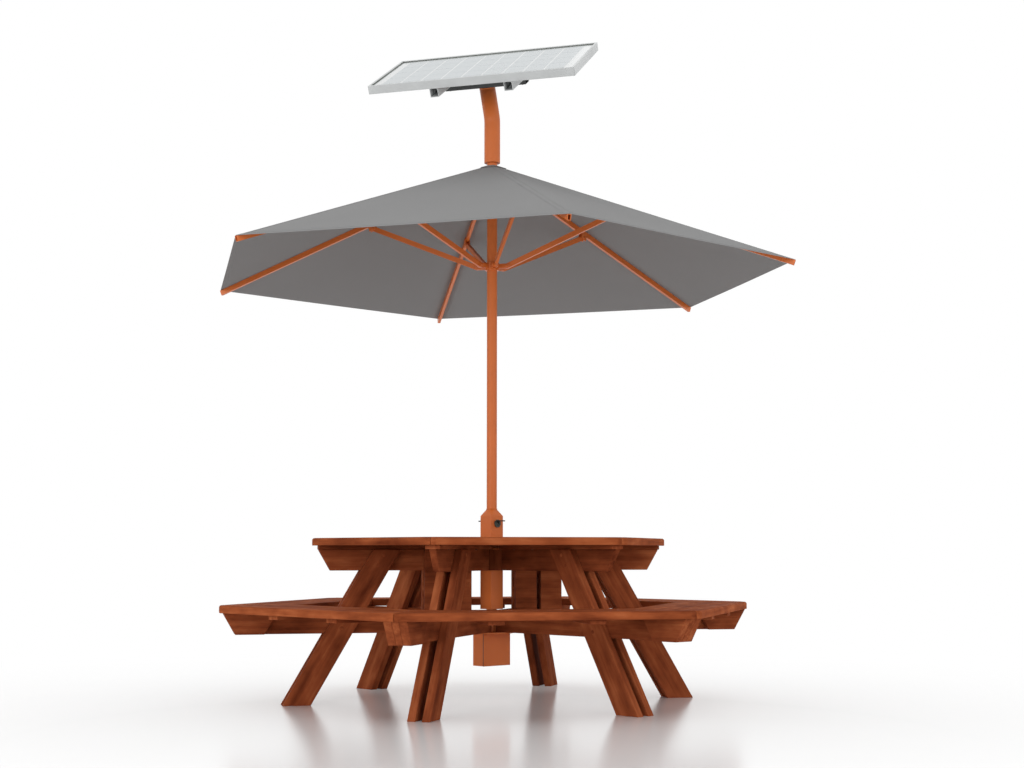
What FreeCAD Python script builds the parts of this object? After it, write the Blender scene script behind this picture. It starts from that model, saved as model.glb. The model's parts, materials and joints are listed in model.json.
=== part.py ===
"""Hexagonal picnic table with six joined benches, a folding parasol and a solar panel.

Millimetres, +Z up, origin on the floor under the post. Six timber spokes stand at 30 degrees and
every 60 degrees on, six parasol ribs at 0 degrees and every 60 degrees on. The panel faces -Y.
"""
import FreeCAD
import Part
import math
import os
import re
import Sketcher

SIZES = {
    # Planks of tabletop and benches
    "table_height": 750,
    "seat_height": 448,
    "plank_thick": 34,
    "plank_width": 101,
    "plank_gap": 6,
    "mitre_gap": 1,
    "rim_round": 10,
    "center_apothem": 100,
    "top_planks": 6,
    "top_corner_flat": 72,
    "seat_reach": 1100,
    "seat_planks": 3,
    "seat_corner_flat": 65,
    # Battens, cleats, beams, cheeks and blocks
    "batten_width": 66,
    "batten_thick": 18,
    "batten_inner": 85,
    "batten_inset": 24,
    "cleat_width": 68,
    "cleat_thick": 18,
    "cleat_inset": 22,
    "cleat_spread": 210,
    "beam_depth": 96,
    "beam_thick": 30,
    "beam_slant": 30,
    "top_beam_inner": 60,
    "seat_beam_inner": 45,
    "seat_beam_inset": 15,
    "cheek_length": 240,
    "block_length": 30,
    "block_gap": 0.2,
    # Legs and uprights
    "leg_width": 110,
    "leg_thick": 35,
    "leg_lean": 30,
    "foot_radius": 904,
    "upright_width": 100,
    "upright_gap": 20,
    "upright_inner": 105,
    # Hub plates, post, stub and pole
    "hub_plate": 6,
    "top_hub_apothem": 78,
    "seat_hub_apothem": 105,
    "post_side": 75,
    "post_wall": 3,
    "post_bottom": 422,
    "post_top": 854,
    "post_clearance": 0.5,
    "end_plate": 5,
    "shoulder_height": 32,
    "pole_diameter": 48.3,
    "pole_wall": 2.6,
    "crown_clearance": 0.3,
    # Battery box and what it holds
    "box_depth": 72,
    "box_width": 166,
    "box_wall": 2,
    "box_bottom": 163,
    "battery_depth": 65,
    "battery_width": 151,
    "battery_height": 94,
    "controller_depth": 30,
    "controller_width": 110,
    "controller_height": 34,
    "controller_gap": 8,
    # USB sockets and their flaps
    "socket_height": 819,
    "socket_diameter": 36,
    "socket_flange": 6,
    "socket_body": 26,
    "socket_depth": 30,
    "socket_clearance": 0.3,
    "socket_recess": 20,
    "recess_depth": 5,
    "flap_drop": 3.5,
    "flap_length": 32,
    "flap_thick": 5,
    "flap_corner": 9,
    "flap_clearance": 0.5,
    "flap_barrel": 5,
    "ear_gap": 16,
    "ear_thick": 3,
    # Parasol linkage
    "crown_height": 2504,
    "crown_radius": 50,
    "crown_ring_height": 30,
    "rib_length": 1478,
    "rib_width": 15,
    "rib_depth": 25,
    "rib_wall": 2,
    "rib_angle": 20.65,
    "rib_plug": 40,
    "strut_seat": 613,
    "strut_drop": 25.5,
    "strut_width": 14,
    "strut_depth": 24,
    "runner_height": 2040,
    "runner_radius": 75,
    "runner_ring_height": 36,
    "runner_clearance": 0.6,
    "ring_wall": 9.5,
    "lug_thick": 4,
    "lug_radius": 11,
    "crown_lug": 8,
    "lug_clearance": 0.5,
    "hinge_pin": 8,
    "pin_clearance": 0.3,
    "bracket_half": 18,
    # Canopy fabric
    "canopy_reach": 1438,
    "canopy_neck": 30,
    "fabric_lift": 2.2,
    "fabric_thick": 1.5,
    # Bent tube and its head
    "neck_height": 41,
    "tube_diameter": 76.1,
    "tube_wall": 3,
    "tube_rise": 217,
    "tube_arm": 161,
    "tube_bend_radius": 90,
    "tube_cap": 6,
    "head_thick": 6,
    # Panel, rails and cross bar
    "panel_tilt": 30,
    "panel_length": 1005,
    "panel_width": 510,
    "panel_thick": 40,
    "bezel_width": 11,
    "flange_width": 45,
    "flange_thick": 2,
    "frame_mitre": 0.4,
    "laminate_thick": 4,
    "laminate_sink": 6,
    "junction_length": 110,
    "junction_width": 70,
    "junction_height": 18,
    "junction_shift": 160,
    "rail_spacing": 362,
    "rail_size": 41,
    "rail_wall": 2.5,
    "rail_lip": 9,
    "rail_length": 506,
    "bar_width": 60,
    "bar_height": 28,
    "bar_wall": 3,
}

DERIVED = {
    "pitch": "plank_width + plank_gap",
    "mitre_set": "mitre_gap / 2 / cos(30)",
    "top_reach": "center_apothem + top_planks * pitch",
    "top_under": "table_height - plank_thick",
    "top_tip": "top_reach / cos(30) - top_corner_flat / 2 * tan(30)",
    "seat_inner": "seat_reach - seat_planks * pitch + plank_gap",
    "seat_under": "seat_height - plank_thick",
    "seat_tip": "seat_reach / cos(30) - seat_corner_flat / 2 * tan(30)",
    "frame_top": "top_under - batten_thick",
    "top_beam_reach": "top_tip - batten_inset",
    "top_beam_bottom": "frame_top - beam_depth",
    "seat_beam_reach": "seat_tip - seat_beam_inset",
    "seat_beam_bottom": "seat_under - beam_depth",
    "slant_run": "beam_depth * tan(beam_slant)",
    "leg_half": "leg_width / 2 / cos(leg_lean)",
    "leg_top": "foot_radius - frame_top * tan(leg_lean)",
    "block_inner": "post_side / sqrt(2) + post_clearance",
    "second_upright": "upright_inner + upright_width + upright_gap",
    "box_top": "seat_beam_bottom - hub_plate",
    "shoulder_top": "post_top + shoulder_height",
    "flap_hinge_x": "post_side / 2 + socket_flange + flap_clearance + flap_barrel / 2",
    "flap_hinge_z": "socket_height + socket_diameter / 2 - flap_thick / 2 - flap_drop",
    "ring_radius": "pole_diameter / 2 + ring_wall",
    "rib_half": "rib_width / 2",
    "rib_half_depth": "rib_depth / 2",
    "strut_half": "strut_width / 2",
    "strut_half_depth": "strut_depth / 2",
    "pin_hole": "hinge_pin / 2 + pin_clearance",
    "strut_top_r": "crown_radius + strut_seat * cos(rib_angle) - strut_drop * sin(rib_angle)",
    "strut_top_z": "crown_height - strut_seat * sin(rib_angle) - strut_drop * cos(rib_angle)",
    "strut_run": "strut_top_r - runner_radius",
    "strut_rise": "strut_top_z - runner_height",
    "strut_length": "sqrt(strut_run * strut_run + strut_rise * strut_rise)",
    "canopy_rise": "(canopy_reach - canopy_neck) * tan(rib_angle)",
    "fabric_base": "crown_height + rib_half_depth / cos(rib_angle) + fabric_lift",
    "canopy_hem": "fabric_base - (canopy_reach - crown_radius) * tan(rib_angle)",
    "tube_bottom": "crown_height + neck_height",
    "tube_corner": "tube_bottom + tube_rise",
    "bend_tangent": "tube_bend_radius * tan(panel_tilt / 2)",
    "tube_end": "tube_arm - head_thick",
    "panel_base": "bar_height + rail_size",
    "laminate_top": "panel_base + panel_thick - laminate_sink",
    "laminate_bottom": "laminate_top - laminate_thick",
    "bar_reach": "rail_spacing / 2 + rail_size / 2",
}

SECTOR_ANGLES = [60 * step for step in range(6)]
SPOKE_ANGLES = [30 + angle for angle in SECTOR_ANGLES]
UPRIGHT_SPOKES = (30, 210)
POST_ANGLE = -30
POST_CORNERS = [POST_ANGLE + corner for corner in (45, 135, 225, 315)]

UP = FreeCAD.Vector(0, 0, 1)
X_LINE = "1; 0; 0"
Y_LINE = "0; 1; 0"

doc = FreeCAD.newDocument("SolarTable")
sheet = doc.addObject("Spreadsheet::Sheet", "Sizes")
for row, (alias, number) in enumerate(SIZES.items(), start=1):
    sheet.set(f"A{row}", alias)
    sheet.set(f"B{row}", str(number))
    sheet.setAlias(f"B{row}", alias)
doc.recompute()
nodes = []


def expand(formula):
    """Writes a formula in the words of SIZES and DERIVED as an expression on the sheet."""
    def word(match):
        name = match.group(0)
        if name in SIZES:
            return "Sizes." + name
        if name in DERIVED:
            return "(" + expand(DERIVED[name]) + ")"
        return name
    return re.sub(r"[a-z][a-z_]*", word, str(formula))


def value(formula):
    """The present value of a formula."""
    result = sheet.evalExpression(expand(formula))
    return float(getattr(result, "Value", result))


def bind(feature, **formulas):
    """Ties properties of a feature to formulas on the sheet."""
    for name, formula in formulas.items():
        feature.setExpression(name, expand(formula))


def turned(angle, base="0; 0; 0", tilt="0", tilt_line=Y_LINE):
    """The formula of a placement: tilted about a level line, turned about the vertical, then moved."""
    turn = f"create(<<rotation>>; create(<<vector>>; 0; 0; 1); {angle})"
    lean = f"create(<<rotation>>; create(<<vector>>; {tilt_line}); {tilt})"
    return f"create(<<placement>>; create(<<vector>>; {base}); {turn} * {lean})"


def polar(radius, height, angle):
    """The formula of a point at a radius and height in the direction of an angle."""
    return f"({radius}) * cos({angle}); ({radius}) * sin({angle}); {height}"


def origin_feature(body, role):
    """A plane or axis of the body's own origin."""
    return next(feature for feature in body.Origin.OriginFeatures if feature.Role == role)


def new_body(name, placement=None):
    """An empty body at the formula of a placement, or at the origin."""
    body = doc.addObject("PartDesign::Body", name)
    if placement:
        bind(body, Placement=placement)
    return body


def keep(feature, label):
    """Names a finished sub-part and lists it for writing."""
    feature.Label = label
    nodes.append(feature)
    return feature


def group(label, members):
    """One node of several separate solids."""
    compound = doc.addObject("Part::Compound", label)
    compound.Links = members
    return keep(compound, label)


def tie(sketch, geometry, point, x, y):
    """Holds a sketch point at two formulas, or on an axis where its formula is zero."""
    for kind, axis, formula in (("DistanceX", -2, x), ("DistanceY", -1, y)):
        if str(formula) == "0":
            sketch.addConstraint(Sketcher.Constraint("PointOnObject", geometry, point, axis))
            continue
        index = sketch.addConstraint(Sketcher.Constraint(kind, -1, 1, geometry, point, value(formula)))
        sketch.setExpression(f"Constraints[{index}]", expand(formula))


def new_sketch(body, plane, lift="0"):
    """An empty sketch on a plane of the body, lifted along the plane's normal."""
    sketch = body.newObject("Sketcher::SketchObject", "Sketch")
    sketch.AttachmentSupport = [(origin_feature(body, plane), "")]
    sketch.MapMode = "FlatFace"
    if str(lift) != "0":
        sketch.setExpression("AttachmentOffset.Base.z", expand(lift))
    return sketch


def add_loop(sketch, corners):
    """Adds a closed loop of straight edges whose corners are pairs of formulas."""
    points = [FreeCAD.Vector(value(x), value(y), 0) for x, y in corners]
    edges = [
        sketch.addGeometry(Part.LineSegment(start, end), False)
        for start, end in zip(points, points[1:] + points[:1])
    ]
    for edge, following in zip(edges, edges[1:] + edges[:1]):
        sketch.addConstraint(Sketcher.Constraint("Coincident", edge, 2, following, 1))
    for edge, (x, y) in zip(edges, corners):
        tie(sketch, edge, 1, x, y)


def add_circle(sketch, x, y, radius):
    """Adds a circle whose centre and radius are formulas."""
    center = FreeCAD.Vector(value(x), value(y), 0)
    circle = sketch.addGeometry(Part.Circle(center, UP, value(radius)), False)
    tie(sketch, circle, 3, x, y)
    index = sketch.addConstraint(Sketcher.Constraint("Radius", circle, value(radius)))
    sketch.setExpression(f"Constraints[{index}]", expand(radius))


def profile(body, plane, loops=(), circles=(), lift="0"):
    """A sketch of straight loops and circles."""
    sketch = new_sketch(body, plane, lift)
    for corners in loops:
        add_loop(sketch, corners)
    for circle in circles:
        add_circle(sketch, *circle)
    return sketch


def pad(body, sketch, length):
    """Extrudes a sketch along its plane's normal."""
    feature = body.newObject("PartDesign::Pad", "Pad")
    feature.Profile = sketch
    bind(feature, Length=length)
    doc.recompute()
    return feature


def pocket(body, sketch, length, forward=False):
    """Cuts a sketch against its plane's normal, or forward along it, and checks that it cuts."""
    before = body.Shape.Volume
    feature = body.newObject("PartDesign::Pocket", "Pocket")
    feature.Profile = sketch
    feature.Reversed = forward
    bind(feature, Length=length)
    doc.recompute()
    if not body.Shape.Volume < before:
        raise RuntimeError(f"{body.Label}: a pocket cuts nothing")
    return feature


def around(body, features, count):
    """Repeats features of a body round its vertical axis."""
    pattern = body.newObject("PartDesign::PolarPattern", "PolarPattern")
    pattern.Originals = features
    pattern.Axis = (origin_feature(body, "Z_Axis"), [""])
    pattern.Angle = 360
    pattern.Occurrences = count
    body.Tip = pattern
    doc.recompute()
    return pattern


def box_loop(x_low, x_high, y_low, y_high):
    """The four corners of a rectangle."""
    return [(x_low, y_low), (x_high, y_low), (x_high, y_high), (x_low, y_high)]


def square_loop(side):
    """The four corners of a square about the origin."""
    half = f"({side}) / 2"
    return box_loop(f"-{half}", half, f"-{half}", half)


def hexagon_loop(apothem, angles):
    """The corners of a hexagon at six angles, two of them opposite each other on an axis."""
    radius = f"({apothem}) / cos(30)"
    on_axis = {0: (radius, "0"), 90: ("0", radius), 180: (f"-{radius}", "0"), 270: ("0", f"-{radius}")}
    return [on_axis.get(angle, (f"{radius} * cos({angle})", f"{radius} * sin({angle})")) for angle in angles]


def bar_loop(low, high, middle, half, low_round=True, high_round=True):
    """A bar's side view along x: each end that turns on a pivot is cut to half an octagon about it."""
    below, above = f"{middle} - ({half})", f"{middle} + ({half})"
    near, far = f"({half}) * tan(22.5)", half
    corners = []
    if low_round:
        corners += [(f"{low} - {far}", f"{middle} - {near}"), (f"{low} - {near}", below)]
    else:
        corners += [(low, below)]
    if high_round:
        corners += [(f"{high} + {near}", below), (f"{high} + {far}", f"{middle} - {near}")]
        corners += [(f"{high} + {far}", f"{middle} + {near}"), (f"{high} + {near}", above)]
    else:
        corners += [(high, below), (high, above)]
    if low_round:
        corners += [(f"{low} - {near}", above), (f"{low} - {far}", f"{middle} + {near}")]
    else:
        corners += [(low, above)]
    return corners


def both_sides(body, loops, inner, thickness):
    """Pads outlines twice, on each side of the XZ plane, from a distance outwards."""
    near = pad(body, profile(body, "XZ_Plane", loops, (), inner), thickness)
    far = pad(body, profile(body, "XZ_Plane", loops, (), f"-({inner}) - ({thickness})"), thickness)
    return [near, far]


def plank_ring(label, angle, inner, count, corner_tip, top):
    """One side of a hexagonal plank ring: mitred planks, the outermost with blunted corners."""
    body = new_body(label, turned(angle))
    loops = []
    for index in range(count):
        low = f"({inner}) + {index} * pitch"
        high = f"{low} + plank_width"
        low_y = f"({low}) * tan(30) - mitre_set"
        high_y = f"({high}) * tan(30) - mitre_set"
        if index < count - 1:
            corners = [(low, f"-({low_y})"), (high, f"-({high_y})"), (high, high_y), (low, low_y)]
        else:
            bend_x = f"({corner_tip} + mitre_set * sin(30)) * cos(30)"
            bend_y = f"({bend_x}) * tan(30) - mitre_set"
            flat_y = f"({corner_tip} - ({high}) * cos(30)) / sin(30)"
            corners = [(low, f"-({low_y})"), (bend_x, f"-({bend_y})"), (high, f"-({flat_y})")]
            corners += [(high, flat_y), (bend_x, bend_y), (low, low_y)]
        loops.append(corners)
    board = pad(body, profile(body, "XY_Plane", loops, (), f"{top} - plank_thick"), "plank_thick")
    rim_x = min(value(bend_x), value(high))
    rim = [
        f"Edge{number}"
        for number, edge in enumerate(board.Shape.Edges, start=1)
        if edge.BoundBox.ZMin > value(top) - 0.01 and edge.BoundBox.XMin > rim_x - 0.01
    ]
    fillet = body.newObject("PartDesign::Fillet", "RimFillet")
    fillet.Base = (board, rim)
    bind(fillet, Radius="rim_round")
    doc.recompute()
    return keep(body, label)


def tabletop():
    """Six plank sectors, the centre board and the battens under the mitres."""
    for number, angle in enumerate(SECTOR_ANGLES, start=1):
        label, inner = f"tabletop_sector_{number}", "center_apothem + plank_gap"
        plank_ring(label, angle, inner, SIZES["top_planks"], "top_tip", "table_height")

    center = new_body("tabletop_center")
    hexagon = hexagon_loop("center_apothem", SPOKE_ANGLES)
    diagonal = "(post_side / 2 + post_clearance) * sqrt(2)"
    hole = [(f"{diagonal} * cos({angle})", f"{diagonal} * sin({angle})") for angle in POST_CORNERS]
    pad(center, profile(center, "XY_Plane", [hexagon, hole], (), "top_under"), "plank_thick")
    keep(center, "tabletop_center")

    battens = new_body("tabletop_battens", turned(SPOKE_ANGLES[0]))
    strip = box_loop("batten_inner", "top_beam_reach", "-batten_width / 2", "batten_width / 2")
    first = pad(battens, profile(battens, "XY_Plane", [strip], (), "frame_top"), "batten_thick")
    around(battens, [first], 6)
    keep(battens, "tabletop_battens")


def benches():
    """Six bench sides of mitred planks, with two cleats under each."""
    for number, angle in enumerate(SECTOR_ANGLES, start=1):
        label = f"bench_side_{number}"
        plank_ring(label, angle, "seat_inner", SIZES["seat_planks"], "seat_tip", "seat_height")

    cleats = new_body("bench_cleats")
    inner, outer = "seat_inner + cleat_inset", "seat_reach - cleat_inset"
    low, high = "cleat_spread - cleat_width / 2", "cleat_spread + cleat_width / 2"
    loops = [box_loop(inner, outer, low, high), box_loop(inner, outer, f"-({high})", f"-({low})")]
    first = pad(cleats, profile(cleats, "XY_Plane", loops, (), "seat_under - cleat_thick"), "cleat_thick")
    around(cleats, [first], 6)
    keep(cleats, "bench_cleats")


def beam_set(label, inner, reach, bottom):
    """Six radial beams with slanted outer ends."""
    body = new_body(label, turned(SPOKE_ANGLES[0]))
    outline = [
        (inner, bottom),
        (f"{reach} - slant_run", bottom),
        (reach, f"{bottom} + beam_depth"),
        (inner, f"{bottom} + beam_depth"),
    ]
    beam = pad(body, profile(body, "XZ_Plane", [outline], (), "-beam_thick / 2"), "beam_thick")
    around(body, [beam], 6)
    keep(body, label)


def beam_blocks():
    """Six wedge blocks between the inner ends of the top beams, close round the post."""
    body = new_body("top_beam_blocks")

    def side(x):
        return f"({x}) * tan(30) - (beam_thick / 2 + block_gap) / cos(30)"

    low, high = "block_inner", "block_inner + block_length"
    wedge = [(low, f"-({side(low)})"), (high, f"-({side(high)})"), (high, side(high)), (low, side(low))]
    block = pad(body, profile(body, "XY_Plane", [wedge], (), "top_beam_bottom"), "beam_depth")
    around(body, [block], 6)
    keep(body, "top_beam_blocks")


def cheeks():
    """Two trapezoid blocks beside the outer end of each seat beam."""
    body = new_body("seat_beam_cheeks", turned(SPOKE_ANGLES[0]))
    top = "seat_beam_bottom + beam_depth"
    outline = [
        ("seat_beam_reach - cheek_length", top),
        ("seat_beam_reach - cheek_length + slant_run", "seat_beam_bottom"),
        ("seat_beam_reach - slant_run", "seat_beam_bottom"),
        ("seat_beam_reach", top),
    ]
    around(body, both_sides(body, [outline], "beam_thick / 2", "leg_thick"), 6)
    keep(body, "seat_beam_cheeks")


def legs():
    """Six legs, each of two leaning planks that clasp a top beam and a seat beam."""
    outline = [
        ("foot_radius - leg_half", "0"),
        ("foot_radius + leg_half", "0"),
        ("leg_top + leg_half", "frame_top"),
        ("leg_top - leg_half", "frame_top"),
    ]
    for number, angle in enumerate(SPOKE_ANGLES, start=1):
        body = new_body(f"leg_{number}", turned(angle))
        both_sides(body, [outline], "beam_thick / 2", "leg_thick")
        keep(body, f"leg_{number}")


def uprights():
    """Pairs of upright boards between top and seat beams, on two opposite spokes."""
    body = new_body("upright_boards", turned(UPRIGHT_SPOKES[0]))
    loops = [
        box_loop(start, f"{start} + upright_width", "seat_beam_bottom", "frame_top")
        for start in ("upright_inner", "second_upright")
    ]
    boards = both_sides(body, loops, "beam_thick / 2", "leg_thick")
    around(body, boards, len(UPRIGHT_SPOKES))
    keep(body, "upright_boards")


def hub_plates():
    """Hexagonal plates: one on the top beams, round the post, and one under the seat beams."""
    upper = new_body("UpperPlate")
    diagonal = "(post_side / 2 + post_clearance) * sqrt(2)"
    hole = [(f"{diagonal} * cos({angle})", f"{diagonal} * sin({angle})") for angle in POST_CORNERS]
    loops = [hexagon_loop("top_hub_apothem", SECTOR_ANGLES), hole]
    pad(upper, profile(upper, "XY_Plane", loops, (), "frame_top"), "hub_plate")
    lower = new_body("LowerPlate")
    loops = [hexagon_loop("seat_hub_apothem", SPOKE_ANGLES)]
    pad(lower, profile(lower, "XY_Plane", loops, (), "box_top"), "hub_plate")
    group("hub_plates", [upper, lower])


def tube_rings(outer, wall):
    """The two circles of a round tube's section."""
    return [("0", "0", f"{outer} / 2"), ("0", "0", f"{outer} / 2 - {wall}")]


def post():
    """Square post whose shoulder tapers to the round pole, the stub under it and the pole on it."""
    body = new_body("post", turned(POST_ANGLE))
    outer = [square_loop("post_side")]
    pad(body, profile(body, "XY_Plane", outer, (), "post_bottom"), "post_top - post_bottom")
    foot = profile(body, "XY_Plane", outer, (), "post_top")
    head = profile(body, "XY_Plane", (), [("0", "0", "pole_diameter / 2")], "shoulder_top")
    shoulder = body.newObject("PartDesign::AdditiveLoft", "Shoulder")
    shoulder.Profile = foot
    shoulder.Sections = [head]
    doc.recompute()
    bore = [square_loop("post_side - 2 * post_wall")]
    inner = profile(body, "XY_Plane", bore, (), "post_bottom + end_plate")
    pocket(body, inner, "post_top - post_bottom - end_plate", forward=True)
    window = [socket_hexagon("socket_body / 2 + socket_clearance")]
    pocket(body, profile(body, "YZ_Plane", window, (), "-post_side"), "2 * post_side", forward=True)
    keep(body, "post")

    spans = (("post_stub", "seat_beam_bottom", "post_bottom"), ("pole", "shoulder_top", "tube_bottom"))
    for label, bottom, top in spans:
        tube = new_body(label)
        section = profile(tube, "XY_Plane", (), tube_rings("pole_diameter", "pole_wall"), bottom)
        pad(tube, section, f"{top} - {bottom}")
        keep(tube, label)


def battery_box():
    """Sheet-metal box under the lower hub plate, its cover, the battery and the charge controller."""
    box = new_body("battery_box", turned(POST_ANGLE))
    half_depth, half_width = "box_depth / 2", "box_width / 2"
    outer = [box_loop(f"-{half_depth}", half_depth, f"-{half_width}", half_width)]
    pad(box, profile(box, "XY_Plane", outer, (), "box_bottom"), "box_top - box_bottom")
    mouth_half = f"{half_width} - box_wall"
    mouth = [box_loop(f"-({mouth_half})", mouth_half, "box_bottom + box_wall", "box_top - box_wall")]
    pocket(box, profile(box, "YZ_Plane", mouth, (), half_depth), "box_depth - box_wall")
    keep(box, "battery_box")

    cover = new_body("battery_box_cover", turned(POST_ANGLE))
    sheet_loop = [box_loop(f"-{half_width}", half_width, "box_bottom", "box_top")]
    pad(cover, profile(cover, "YZ_Plane", sheet_loop, (), half_depth), "box_wall")
    keep(cover, "battery_box_cover")

    back, floor = "box_wall - box_depth / 2", "box_bottom + box_wall"
    shelf = f"{floor} + battery_height + controller_gap"
    inner_pieces = (("battery", floor), ("controller", shelf))
    for name, level in inner_pieces:
        piece = new_body(name, turned(POST_ANGLE))
        reach = f"{name}_width / 2"
        loop = [box_loop(back, f"{back} + {name}_depth", f"-{reach}", reach)]
        pad(piece, profile(piece, "XY_Plane", loop, (), level), f"{name}_height")
        keep(piece, "charge_controller" if name == "controller" else name)


def socket_hexagon(apothem):
    """The hexagonal outline of a socket's body, seen from the front."""
    return [(x, f"socket_height + {y}") for x, y in hexagon_loop(apothem, SECTOR_ANGLES)]


def usb_sockets():
    """Two round sockets on opposite faces of the post, each with hinge ears over it."""
    body = new_body("usb_sockets", turned(POST_ANGLE))
    face = "post_side / 2"
    disc = [("0", "socket_height", "socket_diameter / 2")]
    barrel = [socket_hexagon("socket_body / 2")]
    low, high = "flap_hinge_z - flap_barrel / 2", "flap_hinge_z + flap_barrel / 2"
    ear = box_loop(face, "flap_hinge_x + flap_barrel / 2", low, high)
    features = [
        pad(body, profile(body, "YZ_Plane", (), disc, face), "socket_flange"),
        pad(body, profile(body, "YZ_Plane", barrel, (), f"{face} - socket_depth"), "socket_depth"),
    ]
    features += both_sides(body, [ear], "ear_gap / 2", "ear_thick")
    recess = [("0", "socket_height", "socket_recess / 2")]
    front = f"{face} + socket_flange"
    features.append(pocket(body, profile(body, "YZ_Plane", (), recess, front), "recess_depth"))
    around(body, features, 2)
    keep(body, "usb_sockets")


def usb_flaps():
    """A flap over each socket, shown swung up level on its barrel."""
    for label, angle in (("usb_flap_front", POST_ANGLE), ("usb_flap_back", POST_ANGLE + 180)):
        body = new_body(label, turned(angle, polar("flap_hinge_x", "flap_hinge_z", angle)))
        barrel_half = "(ear_gap / 2 - pin_clearance)"
        start = "flap_barrel / 2 * sqrt(2) + flap_clearance"
        half, far, lift = "socket_diameter / 2", f"{start} + flap_length", "-flap_thick / 2"
        plate = [
            (start, f"-{half}"),
            (f"{far} - flap_corner", f"-{half}"),
            (far, f"-{half} + flap_corner"),
            (far, f"{half} - flap_corner"),
            (f"{far} - flap_corner", half),
            (start, half),
        ]
        pad(body, profile(body, "XY_Plane", [plate], (), lift), "flap_thick")
        neck = [box_loop("0", f"2 * ({start})", f"-{barrel_half}", barrel_half)]
        pad(body, profile(body, "XY_Plane", neck, (), lift), "flap_thick")
        barrel = [("0", "0", "flap_barrel / 2")]
        pad(body, profile(body, "XZ_Plane", (), barrel, f"-{barrel_half}"), f"2 * {barrel_half}")
        keep(body, label)


def lugged_ring(name, height, ring_height, bore_clearance, pivot_radius, tongue_half, lug):
    """A ring round the pole with six pairs of lugs about the ends of ribs or struts."""
    body = new_body(name)
    ring, bottom = [("0", "0", "ring_radius")], f"{height} - {ring_height} / 2"
    pad(body, profile(body, "XY_Plane", (), ring, bottom), ring_height)
    root = "pole_diameter / 2 + ring_wall / 2"
    arm = [bar_loop(root, pivot_radius, height, lug, low_round=False)]
    around(body, both_sides(body, arm, f"{tongue_half} + lug_clearance", "lug_thick"), 6)
    bore = [("0", "0", f"pole_diameter / 2 + {bore_clearance}")]
    pocket(body, profile(body, "XY_Plane", (), bore, bottom), ring_height, forward=True)
    return body


def cross_pin(body, x, z, outer):
    """A round pin across a pair of lugs, flush with their outer faces."""
    sketch = profile(body, "XZ_Plane", (), [(x, z, "hinge_pin / 2")], f"-({outer})")
    return pad(body, sketch, f"2 * ({outer})")


def hubs():
    """The fixed crown hub with its pins, and the runner that slides on the pole."""
    crown = lugged_ring(
        "crown_hub", "crown_height", "crown_ring_height", "crown_clearance", "crown_radius", "rib_half",
        "crown_lug"
    )
    pin = cross_pin(crown, "crown_radius", "crown_height", "rib_half + lug_clearance + lug_thick")
    around(crown, [pin], 6)
    keep(crown, "crown_hub")

    runner = lugged_ring(
        "runner_hub", "runner_height", "runner_ring_height", "runner_clearance", "runner_radius", "strut_half",
        "lug_radius"
    )
    keep(runner, "runner_hub")


def rib(number, angle):
    """A flat-tube rib from its crown pivot to its open outer end, with strut bracket and pin."""
    place = turned(angle, polar("crown_radius", "crown_height", angle), "rib_angle")
    tube = new_body(f"rib_{number}", place)
    side = [bar_loop("0", "rib_length", "0", "rib_half_depth", high_round=False)]
    pad(tube, profile(tube, "XZ_Plane", side, (), "-rib_half"), "rib_width")
    hole = profile(tube, "XZ_Plane", (), [("0", "0", "pin_hole")], "-rib_half")
    pocket(tube, hole, "rib_width", forward=True)
    bore_half, bore_high = "rib_half - rib_wall", "rib_half_depth - rib_wall"
    bore = [box_loop(f"-({bore_half})", bore_half, f"-({bore_high})", bore_high)]
    pocket(tube, profile(tube, "YZ_Plane", bore, (), "rib_length"), "rib_length - rib_plug")
    low, high = "-strut_drop - lug_radius", "rib_half_depth - lug_thick"
    plate = [box_loop("strut_seat - bracket_half", "strut_seat + bracket_half", low, high)]
    both_sides(tube, plate, "rib_half", "lug_thick")
    cross_pin(tube, "strut_seat", "-strut_drop", "rib_half + lug_thick")
    keep(tube, f"rib_{number}")


def strut(number, angle):
    """A strut from its pivot under the rib down to the runner."""
    pivot = polar("strut_top_r", "strut_top_z", angle)
    body = new_body(f"strut_{number}", turned(angle + 180, pivot, "atan(strut_rise / strut_run)"))
    side = [bar_loop("0", "strut_length", "0", "strut_half_depth")]
    pad(body, profile(body, "XZ_Plane", side, (), "-strut_half"), "strut_width")
    bore = profile(body, "XZ_Plane", (), [("0", "0", "pin_hole")], "-strut_half")
    pocket(body, bore, "strut_width", forward=True)
    keep(body, f"strut_{number}")


def parasol_frame():
    """Hubs, ribs and struts."""
    hubs()
    for number, angle in enumerate(SECTOR_ANGLES, start=1):
        rib(number, angle)
        strut(number, angle)


def hexagonal_spire(name, base):
    """A hexagonal pyramid whose edges run along the ribs, cut off level at the pole."""
    body = new_body(name)
    hexagon = [hexagon_loop("canopy_reach * cos(30)", SECTOR_ANGLES)]
    prism = pad(body, profile(body, "XY_Plane", hexagon, (), base), "canopy_rise")
    sides, floors = [], []
    for number, face in enumerate(prism.Shape.Faces, start=1):
        if abs(face.normalAt(0, 0).z) < 0.5:
            sides.append(f"Face{number}")
        elif face.BoundBox.ZMax < value(base) + 0.01:
            floors.append(f"Face{number}")
    slope = body.newObject("PartDesign::Draft", "Slope")
    slope.Base = (prism, sides)
    slope.NeutralPlane = (prism, floors)
    bind(slope, Angle="90 deg - atan(tan(rib_angle) / cos(30))")
    doc.recompute()
    return body


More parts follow.
